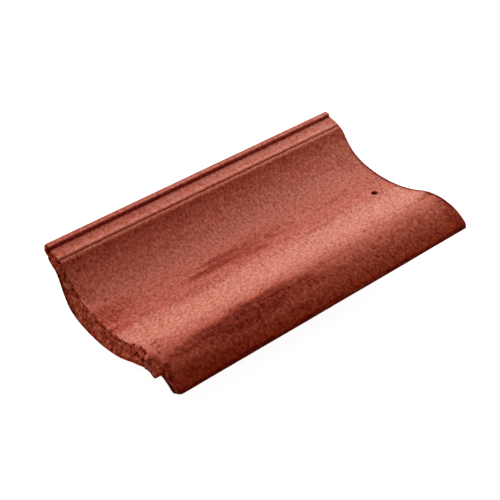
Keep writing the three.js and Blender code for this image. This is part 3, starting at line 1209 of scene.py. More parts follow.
@dataclass
class Pantile:
    """The fired tile as one fine mesh.

    Attributes:
        sizes: the tile's dimensions in millimetres.
        origin: where the roof frame's origin lies in the row's frame, in metres.
        wear: what cutting, firing and handling left on it.
        deep_cells: cells through the thickness.
        pitch: distance between stations along the plain body.
        end_pitch: distance between stations near the tail.
        end_zone: how far the finer stations reach from the tail.
        edge_zone: how far the finest stations reach from either end.
        edge_stations: distances of those stations from the end.
        nib_cells: cells of a nib across, down and along.
        punch_sides: sides of the nail punch.
        sharp_angle: turn in degrees from which an edge shows sharp.
        seed: which tile of the batch.
    """

    sizes: TileSizes
    origin: Vector
    wear: Wear = Wear()
    deep_cells: int = 18
    pitch: float = 3.2
    end_pitch: float = 1.2
    end_zone: float = 21.0
    edge_zone: float = 3.0
    edge_stations: tuple[float, ...] = (0.0, 0.35, 0.8, 1.4, 2.1)
    nib_cells: tuple[int, int, int] = (20, 20, 12)
    punch_sides: int = 36
    sharp_angle: float = 50.0
    seed: int = 7
    section: Section = field(init=False)

    def __post_init__(self) -> None:
        """Draw the section."""
        self.section = Section(self.sizes)

    def stations(self) -> np.ndarray:
        """Distances along the tile at which its section is drawn, close together at the worn ends.

        Returns:
            The distances from the tail.
        """
        edge = np.array(self.edge_stations)
        tail = np.arange(self.edge_zone, self.end_zone, self.end_pitch)
        last = self.sizes.length - self.edge_zone
        body = np.linspace(self.end_zone, last, math.ceil((last - self.end_zone) / self.pitch) + 1)
        return np.concatenate([edge, tail, body, self.sizes.length - edge[::-1]])

    def depth_weights(self, y: np.ndarray) -> tuple[np.ndarray, np.ndarray]:
        """How much of the nose's depth and of the weather bar's each station has.

        Args:
            y: distances from the tail.

        Returns:
            The nose's share and the bar's share, each from 0 to 1.
        """
        s = self.sizes
        nose_end = s.nose_length + s.bar_draft
        bar_start = nose_end + s.bar_gap + s.bar_draft
        bar_end = bar_start + s.bar_length
        nose = np.interp(y, [s.nose_length, nose_end], [1, 0])
        bar = np.interp(y, [bar_start - s.bar_draft, bar_start, bar_end, bar_end + s.bar_draft], [0, 1, 1, 0])
        return nose, bar

    def place(self, points: np.ndarray) -> np.ndarray:
        """Points of the roof frame in millimetres, in the row's frame in metres."""
        return points * MM + np.array(self.origin)

    def skin(self, mesh: bpy.types.Mesh) -> Skin:
        """Where a mesh's points lie in the roof frame, and which way they look.

        Args:
            mesh: the tile's mesh, in the row's frame in metres.

        Returns:
            The skin.
        """
        points = np.empty(len(mesh.vertices) * 3)
        mesh.vertices.foreach_get("co", points)
        points = (points.reshape(-1, 3) - np.array(self.origin)) / MM
        normals = np.empty(points.size)
        mesh.vertex_normals.foreach_get("vector", normals)
        return Skin(points, normals.reshape(-1, 3), self.section.height(points[:, 0]) - points[:, 2])

    def body(self) -> bpy.types.Object:
        """The pressed body with its nose, weather bar, worn edges and torn end.

        Returns:
            Its closed mesh.
        """
        s, section = self.sizes, self.section
        y = self.stations()
        nose_share, bar_share = self.depth_weights(y)
        plain = section.underside(section.skin_below(s.body))
        nose = section.underside(section.nose_below(), self.wear.rubbed)
        bar = section.underside(section.skin_below(s.body + s.bar_proud))
        grid = BoxGrid(len(section.upper) - 1, self.deep_cells, len(y) - 1)
        i, k, j = grid.places.T
        under = plain[i] + nose_share[j, None] * (nose - plain)[i] + bar_share[j, None] * (bar - plain)[i]
        share = (k / self.deep_cells)[:, None]
        flat = section.upper[i] * (1 - share) + under * share
        thickness = np.linalg.norm(section.upper[i] - under, axis=1)
        down = (under - section.upper[i]) / thickness[:, None]
        depth = share[:, 0] * thickness
        rest = (1 - share[:, 0]) * thickness
        points = np.stack([flat[:, 0], y[j] + self.end_shift(flat, y[j], rest), flat[:, 1]], axis=1)
        points = self.worn(points, y[j], depth, rest, down)
        points[:, 2] -= self.wear.end.flake.drop(points, depth)
        return mesh_object("fired_tile", self.place(points), grid.faces())

    def end_shift(self, flat: np.ndarray, gap: np.ndarray, rest: np.ndarray) -> np.ndarray:
        """How far the tail end's shape moves each point along the tile.

        The end face leans forward below the upper outline and runs back round the lip's corner. It is rough
        and pitted, and its edges are broken back in places.

        Args:
            flat: rows of x, z.
            gap: how far behind the ideal tail end each point lies.
            rest: how far above the underside each point lies.

        Returns:
            The move in millimetres, towards the head.
        """
        s, end = self.sizes, self.wear.end
        below = np.maximum(self.section.height(flat[:, 0]) - flat[:, 1], 0.0)
        lean = -s.nose_lean * below
        aside = np.clip(flat[:, 0] - (s.width - s.tail_corner), 0.0, s.tail_corner)
        corner = s.tail_corner - s.nose_lean * s.flange - np.sqrt(s.tail_corner**2 - aside**2)
        turned = np.where(aside > 0, np.maximum(corner - lean, 0.0), 0.0)
        torn = end.depth(flat, below, self.seed) + end.pit_depth(flat[:, 0], below, s.crown_x, self.seed)
        torn *= smoothstep(*end.foot_fade, rest)
        torn += sum(chip.broken(flat[:, 0], rest) for chip in end.lower_chips)
        shift = lean * (1 - smoothstep(0.0, s.nose_length, gap))
        shift += turned * (1 - smoothstep(0.0, end.corner_reach * s.tail_corner, gap))
        return shift + torn * (1 - smoothstep(0.0, end.reach, gap))

    def worn(
        self, points: np.ndarray, gap: np.ndarray, below: np.ndarray, rest: np.ndarray, down: np.ndarray
    ) -> np.ndarray:
        """Round the edges where the two ends meet the upper and lower surfaces.

        Args:
            points: rows of x, y, z in millimetres.
            gap: distance behind the tail end, before the end was shaped.
            below: distance under the upper surface.
            rest: distance above the lower surface.
            down: unit direction in x, z from the upper surface to the lower.

        Returns:
            The moved points.
        """
        moved, wear = points.copy(), self.wear
        uneven = 1.0 + wear.edge_swing * rough_noise(points, wear.edge_cell, self.seed + Layer.EDGES)
        head_gap = self.sizes.length - gap
        edges = [
            (gap, 1.0, below, 1.0, wear.tail_edge),
            (gap, 1.0, rest, -1.0, wear.cut_edge),
            (head_gap, -1.0, below, 1.0, wear.cut_edge),
            (head_gap, -1.0, rest, -1.0, wear.cut_edge),
        ]
        for end_gap, way, depth, inward, size in edges:
            radius = size * uneven
            near = (end_gap < radius) & (depth < radius)
            a, b = radius - end_gap, radius - depth
            trim = np.where(near, np.maximum(1 - radius / np.maximum(np.hypot(a, b), TINY), 0.0), 0.0)
            moved[:, 1] += way * a * trim
            moved[:, [0, 2]] += inward * down * (b * trim)[:, None]
        return moved

    def nib(self, centre: float) -> bpy.types.Object:
        """One batten nib, with its root inside the body.

        Args:
            centre: middle of the nib across the tile.

        Returns:
            The nib's own closed mesh.
        """
        s, edge = self.sizes, self.wear.nib_edge
        grid = BoxGrid(*self.nib_cells)
        tall = self.section.height(np.array([centre]))[0] - s.foot_level
        size = np.array([s.nib_width, tall, s.nib_length])
        raw = grid.places / np.array(self.nib_cells) * size
        inner = np.clip(raw, edge, size - edge)
        out = raw - inner
        raw = inner + out * (edge / np.maximum(np.linalg.norm(out, axis=1), edge))[:, None]
        depth = raw[:, 1] / tall
        half = s.nib_width / 2
        x = centre + (raw[:, 0] - half) * (1 - s.nib_draft / half * depth)
        front = s.length - s.nib_from_head - s.nib_length
        y = front + raw[:, 2] * (1 - s.nib_draft / s.nib_length * depth)
        ceiling = self.section.height(x) - s.body / 2
        z = ceiling + (s.foot_level - ceiling) * depth
        return mesh_object("nib", self.place(np.stack([x, y, z], axis=1)), grid.faces())

    def nail_drill(self) -> bpy.types.Object:
        """What the nail hole takes out: an upright punch with a worn lip at the top.

        Returns:
            Its closed mesh.
        """
        s, wear, sides = self.sizes, self.wear, self.punch_sides
        turn = np.arange(sides) * 2 * math.pi / sides
        circle = np.stack([np.cos(turn), np.sin(turn), 0 * turn], axis=1)
        uneven = 1 + wear.lip_swing * value_noise(wear.lip_ring * circle, wear.lip_cell, self.seed)
        rings = []
        for level, flare in wear.punch:
            x, y, _ = (circle * (s.hole_radius + flare * uneven)[:, None]).T
            z = self.section.height(s.hole_x + x) + level
            rings.append(np.stack([s.hole_x + x, s.length - s.hole_from_head + y, z], axis=1))
        after = [(n + 1) % sides for n in range(sides)]
        last = (len(rings) - 1) * sides
        wall = itertools.product(range(0, last, sides), zip(range(sides), after))
        faces = [[r + n, r + m, r + sides + m, r + sides + n] for r, (n, m) in wall]
        faces += [list(range(sides))[::-1], list(range(last, last + sides))]
        return mesh_object("nail_drill", self.place(np.concatenate(rings)), faces)

    def uneven_skin(self, mesh: bpy.types.Mesh) -> None:
        """Sink the skin a little, more in some places than in others, but never past its own box.

        Args:
            mesh: the joined tile.
        """
        skin = self.skin(mesh)
        sunk = self.wear.waves.sunk(skin.points, self.sizes.ledge_end, self.seed)
        moved = skin.points - skin.normals * sunk[:, None]
        moved = self.place(np.clip(moved, skin.points.min(axis=0), skin.points.max(axis=0)))
        mesh.vertices.foreach_set("co", moved.ravel())
        mesh.update()

    def marks(self, skin: Skin) -> dict[Mark, np.ndarray]:
        """What each part of the skin went through, and where shade and highlights are painted on it.

        Args:
            skin: the finished tile's skin.

        Returns:
            For each mark, a value from 0 to 1 for each point.
        """
        s, end, face, soot = self.sizes, self.wear.end, self.wear.face, self.wear.soot
        bare = end.bare(skin)
        # Torn clay is drawn paler under the upper edge and along the ridge, a painted highlight.
        torn = bare * (1 - end.edge_highlight(skin))
        pits = end.pit_depth(skin.x, skin.below, s.crown_x, self.seed)
        # The pits are darkened with painted shade.
        pitted = end.pit_shade * torn * smoothstep(*end.pit_shows, pits)
        flaked = end.flake.bared(skin)
        torn = torn * (1 - flaked) + end.flake.bare * flaked
        weather = face.pressed(skin, s.width)
        smoke = self.wear.smoke.taken_up(skin, self.seed) * weather
        # Painted shade on the torn clay beside the recess, carried with the smoke.
        in_recess = end.recess_shade * torn * smoothstep(s.recess_foot, s.recess_top, skin.x)
        foot_line = self.section.underside(self.section.nose_below(), self.wear.rubbed)
        # Painted shade, with some soot, on the head's rim and on the torn end.
        sooty_and_shaded = np.maximum(soot.at_head(skin, s.length), bare * soot.on_torn_end(skin, foot_line))
        return {
            Mark.WEATHER: weather,
            Mark.SMUDGE_AND_SHADE: np.maximum(smoke, in_recess),
            Mark.TORN: torn,
            Mark.PIT_SHADE: pitted * (1 - end.flake.pits_lost * flaked),
            Mark.COARSE: face.coarse(skin, s.crown_x),
            Mark.SOOT_AND_SHADE: np.maximum(sooty_and_shaded, soot.in_nail_hole(skin, s)),
        }

    def build(self) -> bpy.types.Object:
        """Make the tile, note its marks on it for the finish to read, and log its size.

        Returns:
            The tile as one object.
        """
        tile = self.body()
        for centre in (self.sizes.pan_nib_x, self.sizes.roll_nib_x):
            combine(tile, self.nib(centre), Cut.JOIN)
        combine(tile, self.nail_drill(), Cut.CUT)
        self.uneven_skin(tile.data)
        for mark, values in self.marks(self.skin(tile.data)).items():
            layer = tile.data.attributes.new(mark.value, "FLOAT", "POINT")
            layer.data.foreach_set("value", values.astype(np.float32))
        tile.data.shade_smooth()
        tile.data.set_sharp_from_angle(angle=math.radians(self.sharp_angle))
        tile.data.calc_loop_triangles()
        LOG.info("fired_tile: %d triangles", len(tile.data.loop_triangles))
        return tile


# ---- Finish -----------------------------------------------------------------------------------------

# How strong each finer layer of a drawn noise is against the one before it.
LAYER_SHARE = 0.6

# What a mix of two colours needs.
COLOURS = {"data_type": "RGBA", "output": "Result_Color"}

WHITE = (1.0, 1.0, 1.0, 1.0)


@dataclass(frozen=True)
class Nodes:
    """A shader node tree that is built one node at a time."""

    tree: bpy.types.NodeTree

    @classmethod
    def of(cls, owner: bpy.types.Material | bpy.types.World) -> "Nodes":
        """Start an empty node tree.

        Args:
            owner: the material or the world that it belongs to.

        Returns:
            The tree.
        """
        owner.use_nodes = True
        owner.node_tree.nodes.clear()
        return cls(owner.node_tree)

    def add(self, kind: str, *inputs: object, output: str | None = None, **settings: object) -> Socket | None:
        """Add a node with its settings and links.

        Args:
            kind: the node's type name without its prefix.
            inputs: for the node's inputs in their order, the sockets to link or the plain values.
            output: identifier of the output to return, or the first one where this is left out.
            settings: the same for inputs by identifier, and plain values for the node's own settings.

        Returns:
            The output, or None where the node has none.
        """
        node = self.tree.nodes.new(f"ShaderNode{kind}")
        sockets = {socket.identifier: socket for socket in node.inputs}
        for name, value in (settings | dict(zip(sockets, inputs))).items():
            if name not in sockets:
                setattr(node, name, value)
            elif isinstance(value, Socket):
                self.tree.links.new(value, sockets[name])
            else:
                sockets[name].default_value = value
        outputs = {socket.identifier: socket for socket in node.outputs}
        return outputs.get(output or next(iter(outputs), None))


@dataclass(frozen=True)
class Grain:
    """The grains of sand and grog in the clay, as relief and as lighter and deeper spots.

    The real grains are about half of `size`. That is too fine to show, so they are drawn as coarse as they
    need to be. On the level skin they are a little wider than long. On the roll's steep side, which starts
    past the middle of the pan and ends before the crown, they are longer along one diagonal.

    Attributes:
        shows: levels of the noise between which a spot goes from deep to light.
        lift: how much deeper and lighter it goes.
        patch: size of the patches of torn clay, as a multiple of the grain size.
        patch_shows: levels of their noise between which they go from deep to light.
        patch_lift: how much deeper and lighter they go.
    """

    size: float = 2.7
    width: float = 1.3
    steep_size: float = 1.08
    steep_stretch: float = 1.6
    steep_turn: float = -38.0
    steep_start: Span = (30.0, 46.0)
    steep_end: Span = (24.0, 6.0)
    shows: Span = (0.3, 0.68)
    lift: Span = (-0.18, 0.135)
    patch: float = 2.2
    patch_shows: Span = (0.35, 0.65)
    patch_lift: Span = (-0.18, 0.13)

    def noise(self, nodes: Nodes, spot: Socket, sizes: TileSizes) -> Socket:
        """The grains' noise, a little wider than long and on the roll's steep side drawn out.

        Args:
            nodes: the node tree.
            spot: place on the tile in millimetres.
            sizes: the tile's dimensions.

        Returns:
            A value from 0 to 1.
        """
        layers = {"Detail": 1.0, "Roughness": LAYER_SHARE}
        level = nodes.add("Mapping", spot, Scale=(1 / self.width, 1.0, 1.0))
        level = nodes.add("TexNoise", level, Scale=1 / self.size, **layers)
        turn = (0.0, 0.0, math.radians(self.steep_turn))
        stretch = (self.steep_stretch, 1.0, 1.0)
        drawn = nodes.add("Mapping", spot, Rotation=turn, Scale=stretch, vector_type="TEXTURE")
        drawn = nodes.add("TexNoise", drawn, Scale=1 / (self.steep_size * self.size), **layers)
        x = nodes.add("SeparateXYZ", spot)
        pan = sizes.pan_centre - sizes.width / 2
        crown = sizes.crown_x - sizes.width / 2
        rise = nodes.add("MapRange", x, *(pan + start for start in self.steep_start), 0.0, 1.0)
        fall = nodes.add("MapRange", x, *(crown - end for end in self.steep_end), 1.0, 0.0)
        steep = nodes.add("Math", rise, fall, operation="MINIMUM")
        return nodes.add("Mix", steep, A_Float=level, B_Float=drawn, data_type="FLOAT")

    def spots(self, nodes: Nodes, spot: Socket, grain: Socket, torn: Socket) -> Socket:
        """How much lighter or deeper the grains make the skin.

        Args:
            nodes: the node tree.
            spot: place on the tile in millimetres.
            grain: the grains' noise.
            torn: how much of the skin is torn off.

        Returns:
            A value above 0 for lighter and below 0 for deeper.
        """
        lift = nodes.add("MapRange", grain, *self.shows, *self.lift)
        layers = {"Detail": 1.0, "Roughness": LAYER_SHARE}
        patches = nodes.add("TexNoise", spot, Scale=1 / (self.patch * self.size), **layers)
        patches = nodes.add("MapRange", patches, *self.patch_shows, *self.patch_lift)
        patches = nodes.add("Math", patches, torn, operation="MULTIPLY")
        return nodes.add("Math", lift, patches, operation="ADD")


@dataclass(frozen=True)
class Pores:
    """Open pores, which show as dark dots, the pale sand among them, and a few large pores.

    Every dot fades between two shares of its cell and has a random kind from 0 to 1. Each pair of kinds says
    between which kinds the pores, the sand or the large pores come up. The pitch of the dots is a multiple of
    the grain size, and that of the large pores is in millimetres. `share` is how much of their dark the pores
    of the fine and of the coarse skin have.
    """

    pitch: float = 1.3
    dot: Span = (0.2, 0.6)
    pore_kinds: Span = (0.20, 0.16)
    pore: float = 0.42
    sand_kinds: Span = (0.80, 0.84)
    sand: float = 0.06
    rare_pitch: float = 9.0
    rare_dot: Span = (0.1, 0.27)
    rare_kinds: Span = (0.5, 0.55)
    rare: float = 0.62
    share: Span = (0.5, 1.0)

    def drawn(self, nodes: Nodes, spot: Socket, size: float, coarse: Socket) -> tuple[Socket, Socket]:
        """Draw the pores and the sand.

        Args:
            nodes: the node tree.
            spot: place on the tile in millimetres.
            size: size of the clay's grains in millimetres.
            coarse: how coarse the skin is.

        Returns:
            How dark the pores are, and how pale the sand is.
        """
        cells = nodes.add("TexVoronoi", spot, Scale=1 / (self.pitch * size))
        dots = nodes.add("MapRange", cells, *self.dot, 1.0, 0.0, interpolation_type="SMOOTHSTEP")
        kind = nodes.add("SeparateColor", cells.node.outputs["Color"])
        pores = nodes.add("MapRange", kind, *self.pore_kinds, 0.0, self.pore)
        pores = nodes.add("Math", pores, dots, operation="MULTIPLY")
        sand = nodes.add("MapRange", kind, *self.sand_kinds, 0.0, self.sand)
        sand = nodes.add("Math", sand, dots, operation="MULTIPLY")
        cells = nodes.add("TexVoronoi", spot, Scale=1 / self.rare_pitch)
        kind = nodes.add("SeparateColor", cells.node.outputs["Color"])
        few = nodes.add("MapRange", kind, *self.rare_kinds, 0.0, 1.0)
        rare = nodes.add("MapRange", cells, *self.rare_dot, self.rare, 0.0, interpolation_type="SMOOTHSTEP")
        rare = nodes.add("Math", rare, few, operation="MULTIPLY")
        pores = nodes.add("Math", pores, rare, operation="MAXIMUM")
        share = nodes.add("MapRange", coarse, 0.0, 1.0, *self.share)
        return nodes.add("Math", pores, share, operation="MULTIPLY"), sand


@dataclass(frozen=True)
class Streaks:
    """Faint streaks along the tile, which the die drew into the skin, in millimetres.

    Attributes:
        wander: how far they move the borders of the tones, as a share of the tile's width.
        wander_starts: distances past the ledge's step between which that begins.
        relief: how high they are, as a share of the grain's relief.
        shows: levels of their noise between which smoke goes from thin to dense.
        density: how much of the smoke there is at either.
        fleck_shows: levels of the grains' noise between which the smoke's flecks change.
        flecks: how much they add at either.
    """

    width: float = 3.2
    length: float = 38.0
    detail: float = 3.0
    wander: float = 0.05
    wander_starts: Span = (5.0, 30.0)
    relief: float = 0.4
    shows: Span = (0.3, 0.7)
    density: Span = (0.65, 1.25)
    fleck_shows: Span = (0.3, 0.7)
    flecks: Span = (0.08, -0.06)

    def noise(self, nodes: Nodes, spot: Socket) -> Socket:
        """The streaks' noise, from 0 to 1, at a spot in millimetres."""
        spot = nodes.add("Mapping", spot, Scale=(1 / self.width, 1 / self.length, 1 / self.width))
        return nodes.add("TexNoise", spot, Scale=1.0, Detail=self.detail, Roughness=LAYER_SHARE)

    def ragged(self, nodes: Nodes, smudge: Socket, streak: Socket, grain: Socket) -> Socket:
        """Give the smoky patches streaked, flecked borders.

        Args:
            nodes: the node tree.
            smudge: how much smoke, and painted shade beside the recess, the skin took up on the whole.
            streak: the streaks' noise.
            grain: the grains' noise.

        Returns:
            How much smoke and painted shade each spot has, from 0 to 1.
        """
        density = nodes.add("MapRange", streak, *self.shows, *self.density)
        flecks = nodes.add("MapRange", grain, *self.fleck_shows, *self.flecks)
        ragged = nodes.add("Math", density, flecks, operation="ADD")
        return nodes.add("Math", smudge, ragged, operation="MULTIPLY", use_clamp=True)


@dataclass(frozen=True)
class FiredClay:
    """Coarse red clay, pressed and fired without a glaze.

    Sand and grog in the clay leave a dull, granular face: no mirror gloss, a fine speckle of open pores and
    pale grains, and a flush of deeper colour along the roll's flank that is partly painted shade. Its tones
    also paint shade into corners and along edges, and highlights along the step's edge and the roll's top.

    Attributes:
        sizes: the tile's dimensions, for the places of the tones across it.
        skin: the light tone of the pressed skin.
        ruddy: redder, on the pan's wall.
        crest: lighter and pinker still, along the top of the roll, partly a painted highlight.
        warm: a little deeper, where the skin was wetter.
        dusky: deeper, just before the crown.
        shaded: deeper still, on the shoulder and past the crown.
        flush_and_shade: the flank's deeper colour plus painted shade, and painted shade below the shoulder.
        deep: painted shade along the lip's outer edge.
        crease: painted shade, with some dust and slip, in inner corners and along edges, and where soot and
            shade are marked.
        rubbed: a painted highlight along the ledge's edge at the step.
        torn: the torn end, where the skin is gone.
        pore: the dark in pits, which is painted shade, and in open pores.
        sand: pale grains.
        smoke: how much of the smoky patches, the painted shade by the recess and the pores' dark it takes up.
        smoke_dims: how much less light full smoke leaves.
        smoke_reddens: how much deeper its colour is there.
        grain: the grains.
        grain_lights: how much lighter a light grain is.
        grain_pales: how much paler its colour is.
        pores: the open pores and the sand.
        streaks: the streaks along the tile.
        cloud: size in millimetres of the soft clouds of tone.
        cloud_detail: how many finer layers they have.
        cloud_swing: how much their tone differs.
        tail_shade: depth of the colour at the tail and at the head, a painted shade that darkens the tail.
        relief: height of the grain's relief in millimetres.
        crumb: size in millimetres of the torn clay's crumbs.
        crumb_detail: how many finer layers they have.
        crumb_relief: how high they are, as a multiple of the grain's relief.
        roughness: how dull the skin is.
        ior: how strongly fired clay bends light.
        sheen: level of its reflection; open pores swallow most of it.
        sheen_ends: how torn the skin is where it has no sheen left.
    """

    sizes: TileSizes
    skin: str = "#D47A66"
    ruddy: str = "#CE6F5A"
    crest: str = "#D28673"
    warm: str = "#CC7260"
    dusky: str = "#BE6653"
    shaded: str = "#B05743"
    flush_and_shade: str = "#A94932"
    deep: str = "#9E361B"
    crease: str = "#7C1605"
    rubbed: str = "#EE977F"
    torn: str = "#A6513B"
    pore: str = "#73200F"
    sand: str = "#EFB29F"
    smoke: float = 0.5
    smoke_dims: float = 0.75
    smoke_reddens: float = 1.2
    grain: Grain = Grain()
    grain_lights: float = 0.6
    grain_pales: float = 1.2
    pores: Pores = Pores()
    streaks: Streaks = Streaks()
    cloud: float = 14.0
    cloud_detail: float = 4.0
    cloud_swing: float = 0.25
    tail_shade: Span = (1.12, 0.96)
    relief: float = 0.15
    crumb: float = 2.6
    crumb_detail: float = 2.0
    crumb_relief: float = 3.0
    roughness: float = 0.88
    ior: float = 1.5
    sheen: float = 0.05
    sheen_ends: float = 0.6

    def tones(self) -> list[tuple[float, str]]:
        """The clay's tones across the weather face, from the rib to the lip, with painted shade and
        highlights among them.

        Returns:
            Places in millimetres from the rib's side, and the tone at each.
        """
        s = self.sizes
        step = s.ledge_end
        return [
            # Painted shade along the rib's outer edge.
            (0.0, self.flush_and_shade),
            (1.8, self.warm),
            (3.4, self.skin),
            (s.rib_width - 0.5, self.warm),
            # Painted shade, with some dust, in the inner corner under the rib.
            (s.rib_width + 0.5, self.crease),
            (s.ledge_start + 0.7, self.crease),
            (s.ledge_start + 1.5, self.flush_and_shade),
            (s.ledge_start + 2.6, self.skin),
            (step - 2.5, self.skin),
            # A painted highlight along the ledge's edge at the step.
            (step - 1.0, self.rubbed),
            (step + 0.9, self.rubbed),
            # Painted shade in the step's inner corner.
            (step + 1.6, self.crease),
            (step + 2.8, self.crease),
            (step + 3.6, self.warm),
            (step + 4.0, self.skin),
            (step + 5.2, self.skin),
            # Painted shade where the shoulder falls into the pan.
            (step + 7.4, self.flush_and_shade),
            (step + 9.8, self.flush_and_shade),
            (step + 13.0, self.shaded),
            (s.pan_centre - 26, self.ruddy),
            (s.pan_centre - 10, self.skin),
            (s.pan_centre + 4, self.skin),
            (s.pan_centre + 22, self.warm),
            (s.crown_x - 80, self.warm),
            # Paler and pinker along the roll's top, partly a painted highlight.
            (s.crown_x - 64, self.crest),
            (s.crown_x - 34, self.crest),
            (s.crown_x - 20, self.warm),
            (s.crown_x - 12, self.dusky),
            (s.crown_x - 3, self.shaded),
            # Past the crown, the flank's deeper colour with painted shade on it.
            (s.crown_x + 12, self.flush_and_shade),
            # Painted shade along the lip's outer edge.
            (s.width - 3, self.deep),
            (s.width - 0.2, self.crease),
        ]

    def across(self, nodes: Nodes, spot: Socket, streak: Socket) -> Socket:
        """The weather face's tones, laid across the tile, with borders that wander from the shoulder on.

        Args:
            nodes: the node tree.
            spot: place on the tile in millimetres.
            streak: the streaks' noise.

        Returns:
            The colour.
        """
        width, streaks = self.sizes.width, self.streaks
        place = nodes.add("MapRange", nodes.add("SeparateXYZ", spot), -width / 2, width / 2, 0.0, 1.0)
        starts = [(self.sizes.ledge_end + start) / width for start in streaks.wander_starts]
        loose = nodes.add("MapRange", place, *starts, 0.0, streaks.wander)
        wander = nodes.add("Math", streak, 0.5, operation="SUBTRACT")
        wander = nodes.add("Math", wander, loose, operation="MULTIPLY")
        place = nodes.add("Math", place, wander, operation="ADD")
        colour = nodes.add("ValToRGB", place)
        stops = colour.node.color_ramp.elements
        tones = self.tones()
        while len(stops) < len(tones):
            stops.new(1.0)
        for stop, (x, tone) in zip(stops, tones):
            stop.position = x / width
            stop.color = linear(tone)
        return colour

    def grained(self, nodes: Nodes, spot: Socket, skin: Socket, lift: Socket, soak: Socket) -> Socket:
        """Give the skin its clouds of tone, its grains and its smoke, and a painted shade that deepens its
        colour at the tail.

        Args:
            nodes: the node tree.
            spot: place on the tile in millimetres.
            skin: the skin's colour.
            lift: how much lighter or deeper the grains are.
            soak: how much smoke and dark the skin took up.

        Returns:
            The colour.
        """
        layers = {"Detail": self.cloud_detail, "Roughness": LAYER_SHARE}
        cloud = nodes.add("TexNoise", spot, Scale=1 / self.cloud, **layers)
        cloud = nodes.add("Math", cloud, 0.5, operation="SUBTRACT")
        cloud = nodes.add("Math", cloud, self.cloud_swing, 1.0, operation="MULTIPLY_ADD")
        light = nodes.add("Math", lift, self.grain_lights, 1.0, operation="MULTIPLY_ADD")
        light = nodes.add("Math", soak, -self.smoke_dims, light, operation="MULTIPLY_ADD")
        light = nodes.add("Math", cloud, light, operation="MULTIPLY")
        half = self.sizes.length / 2
        # Painted shade: the colour deepens towards the tail and pales a little at the head.
        deep = nodes.add("MapRange", nodes.add("SeparateXYZ", spot, output="Y"), -half, half, *self.tail_shade)
        deep = nodes.add("Math", lift, -self.grain_pales, deep, operation="MULTIPLY_ADD")
        deep = nodes.add("Math", soak, self.smoke_reddens, deep, operation="MULTIPLY_ADD")
        skin = nodes.add("VectorMath", skin, Scale=light, operation="SCALE")
        return nodes.add("Gamma", skin, deep)

    def bumped(
        self, nodes: Nodes, spot: Socket, streak: Socket, grain: Socket, pores: Socket, torn: Socket
    ) -> Socket:
        """Give the skin the relief of its grains, streaks, open pores and crumbs.

        Args:
            nodes: the node tree.
            spot: place on the tile in millimetres.
            streak: the streaks' noise.
            grain: the grains' noise.
            pores: how open the pores are.
            torn: how much of the skin is torn off.

        Returns:
            The bumped normal.
        """
        height = nodes.add("Math", streak, self.streaks.relief, grain, operation="MULTIPLY_ADD")
        height = nodes.add("Math", height, pores, operation="SUBTRACT")
        layers = {"Detail": self.crumb_detail, "Roughness": LAYER_SHARE}
        crumbs = nodes.add("TexNoise", spot, Scale=1 / self.crumb, **layers)
        crumbed = nodes.add("Math", torn, self.crumb_relief, operation="MULTIPLY")
        crumbs = nodes.add("Math", crumbs, crumbed, operation="MULTIPLY")
        height = nodes.add("Math", height, crumbs, operation="ADD")
        return nodes.add("Bump", Strength=1.0, Distance=self.relief * MM, Height=height)

    def material(self) -> bpy.types.Material:
        """Mix the clay.

        Returns:
            The finished material.
        """
        material = bpy.data.materials.new("coarse_fired_clay")
        nodes = Nodes.of(material)
        marks = {mark: nodes.add("Attribute", attribute_name=mark.value, output="Fac") for mark in Mark}
        torn = marks[Mark.TORN]
        here = nodes.add("TexCoord", output="Object")
        spot = nodes.add("VectorMath", here, Scale=1 / MM, operation="SCALE")
        streak = self.streaks.noise(nodes, spot)
        grain = self.grain.noise(nodes, spot, self.sizes)
        pores, sand = self.pores.drawn(nodes, spot, self.grain.size, marks[Mark.COARSE])
        skin = self.across(nodes, spot, streak)
        skin = nodes.add("Mix", marks[Mark.WEATHER], A_Color=linear(self.warm), B_Color=skin, **COLOURS)
        # The soot mark paints shade, with some soot, in the crease colour, and the pitted mark paints shade
        # into the pits.
        for mark, tone in ((Mark.TORN, self.torn), (Mark.SOOT_AND_SHADE, self.crease), (Mark.PIT_SHADE, self.pore)):
            skin = nodes.add("Mix", marks[mark], A_Color=skin, B_Color=linear(tone), **COLOURS)
        # The smudge mark carries painted shade beside the recess as well as smoke.
        smoky = self.streaks.ragged(nodes, marks[Mark.SMUDGE_AND_SHADE], streak, grain)
        soak = nodes.add("Math", smoky, pores, operation="ADD")
        soak = nodes.add("Math", soak, self.smoke, operation="MULTIPLY")
        skin = self.grained(nodes, spot, skin, self.grain.spots(nodes, spot, grain, torn), soak)
        pale = nodes.add("Math", sand, torn, operation="MULTIPLY")
        skin = nodes.add("Mix", pale, A_Color=skin, B_Color=linear(self.sand), **COLOURS)
        normal = self.bumped(nodes, spot, streak, grain, pores, torn)
        sheen = nodes.add("MapRange", torn, 0.0, self.sheen_ends, self.sheen, 0.0)
        dull = {"Roughness": self.roughness, "IOR": self.ior, "Specular IOR Level": sheen}
        surface = nodes.add("BsdfPrincipled", skin, Normal=normal, **dull)
        nodes.add("OutputMaterial", surface)
        return material


# ---- Light and camera -------------------------------------------------------------------------------


def seen(nodes: Nodes) -> Socket:
    """Tell what is seen of a surface from the light that it gives off.

    Args:
        nodes: the node tree.

    Returns:
        1 for the camera and for what mirrors and glass show, 0 otherwise.
    """
    camera = nodes.add("LightPath", output="Is Camera Ray")
    glossy = nodes.add("LightPath", output="Is Glossy Ray")
    clear = nodes.add("LightPath", output="Is Transmission Ray")
    direct = nodes.add("Math", camera, glossy, operation="MAXIMUM")
    return nodes.add("Math", direct, clear, operation="MAXIMUM")


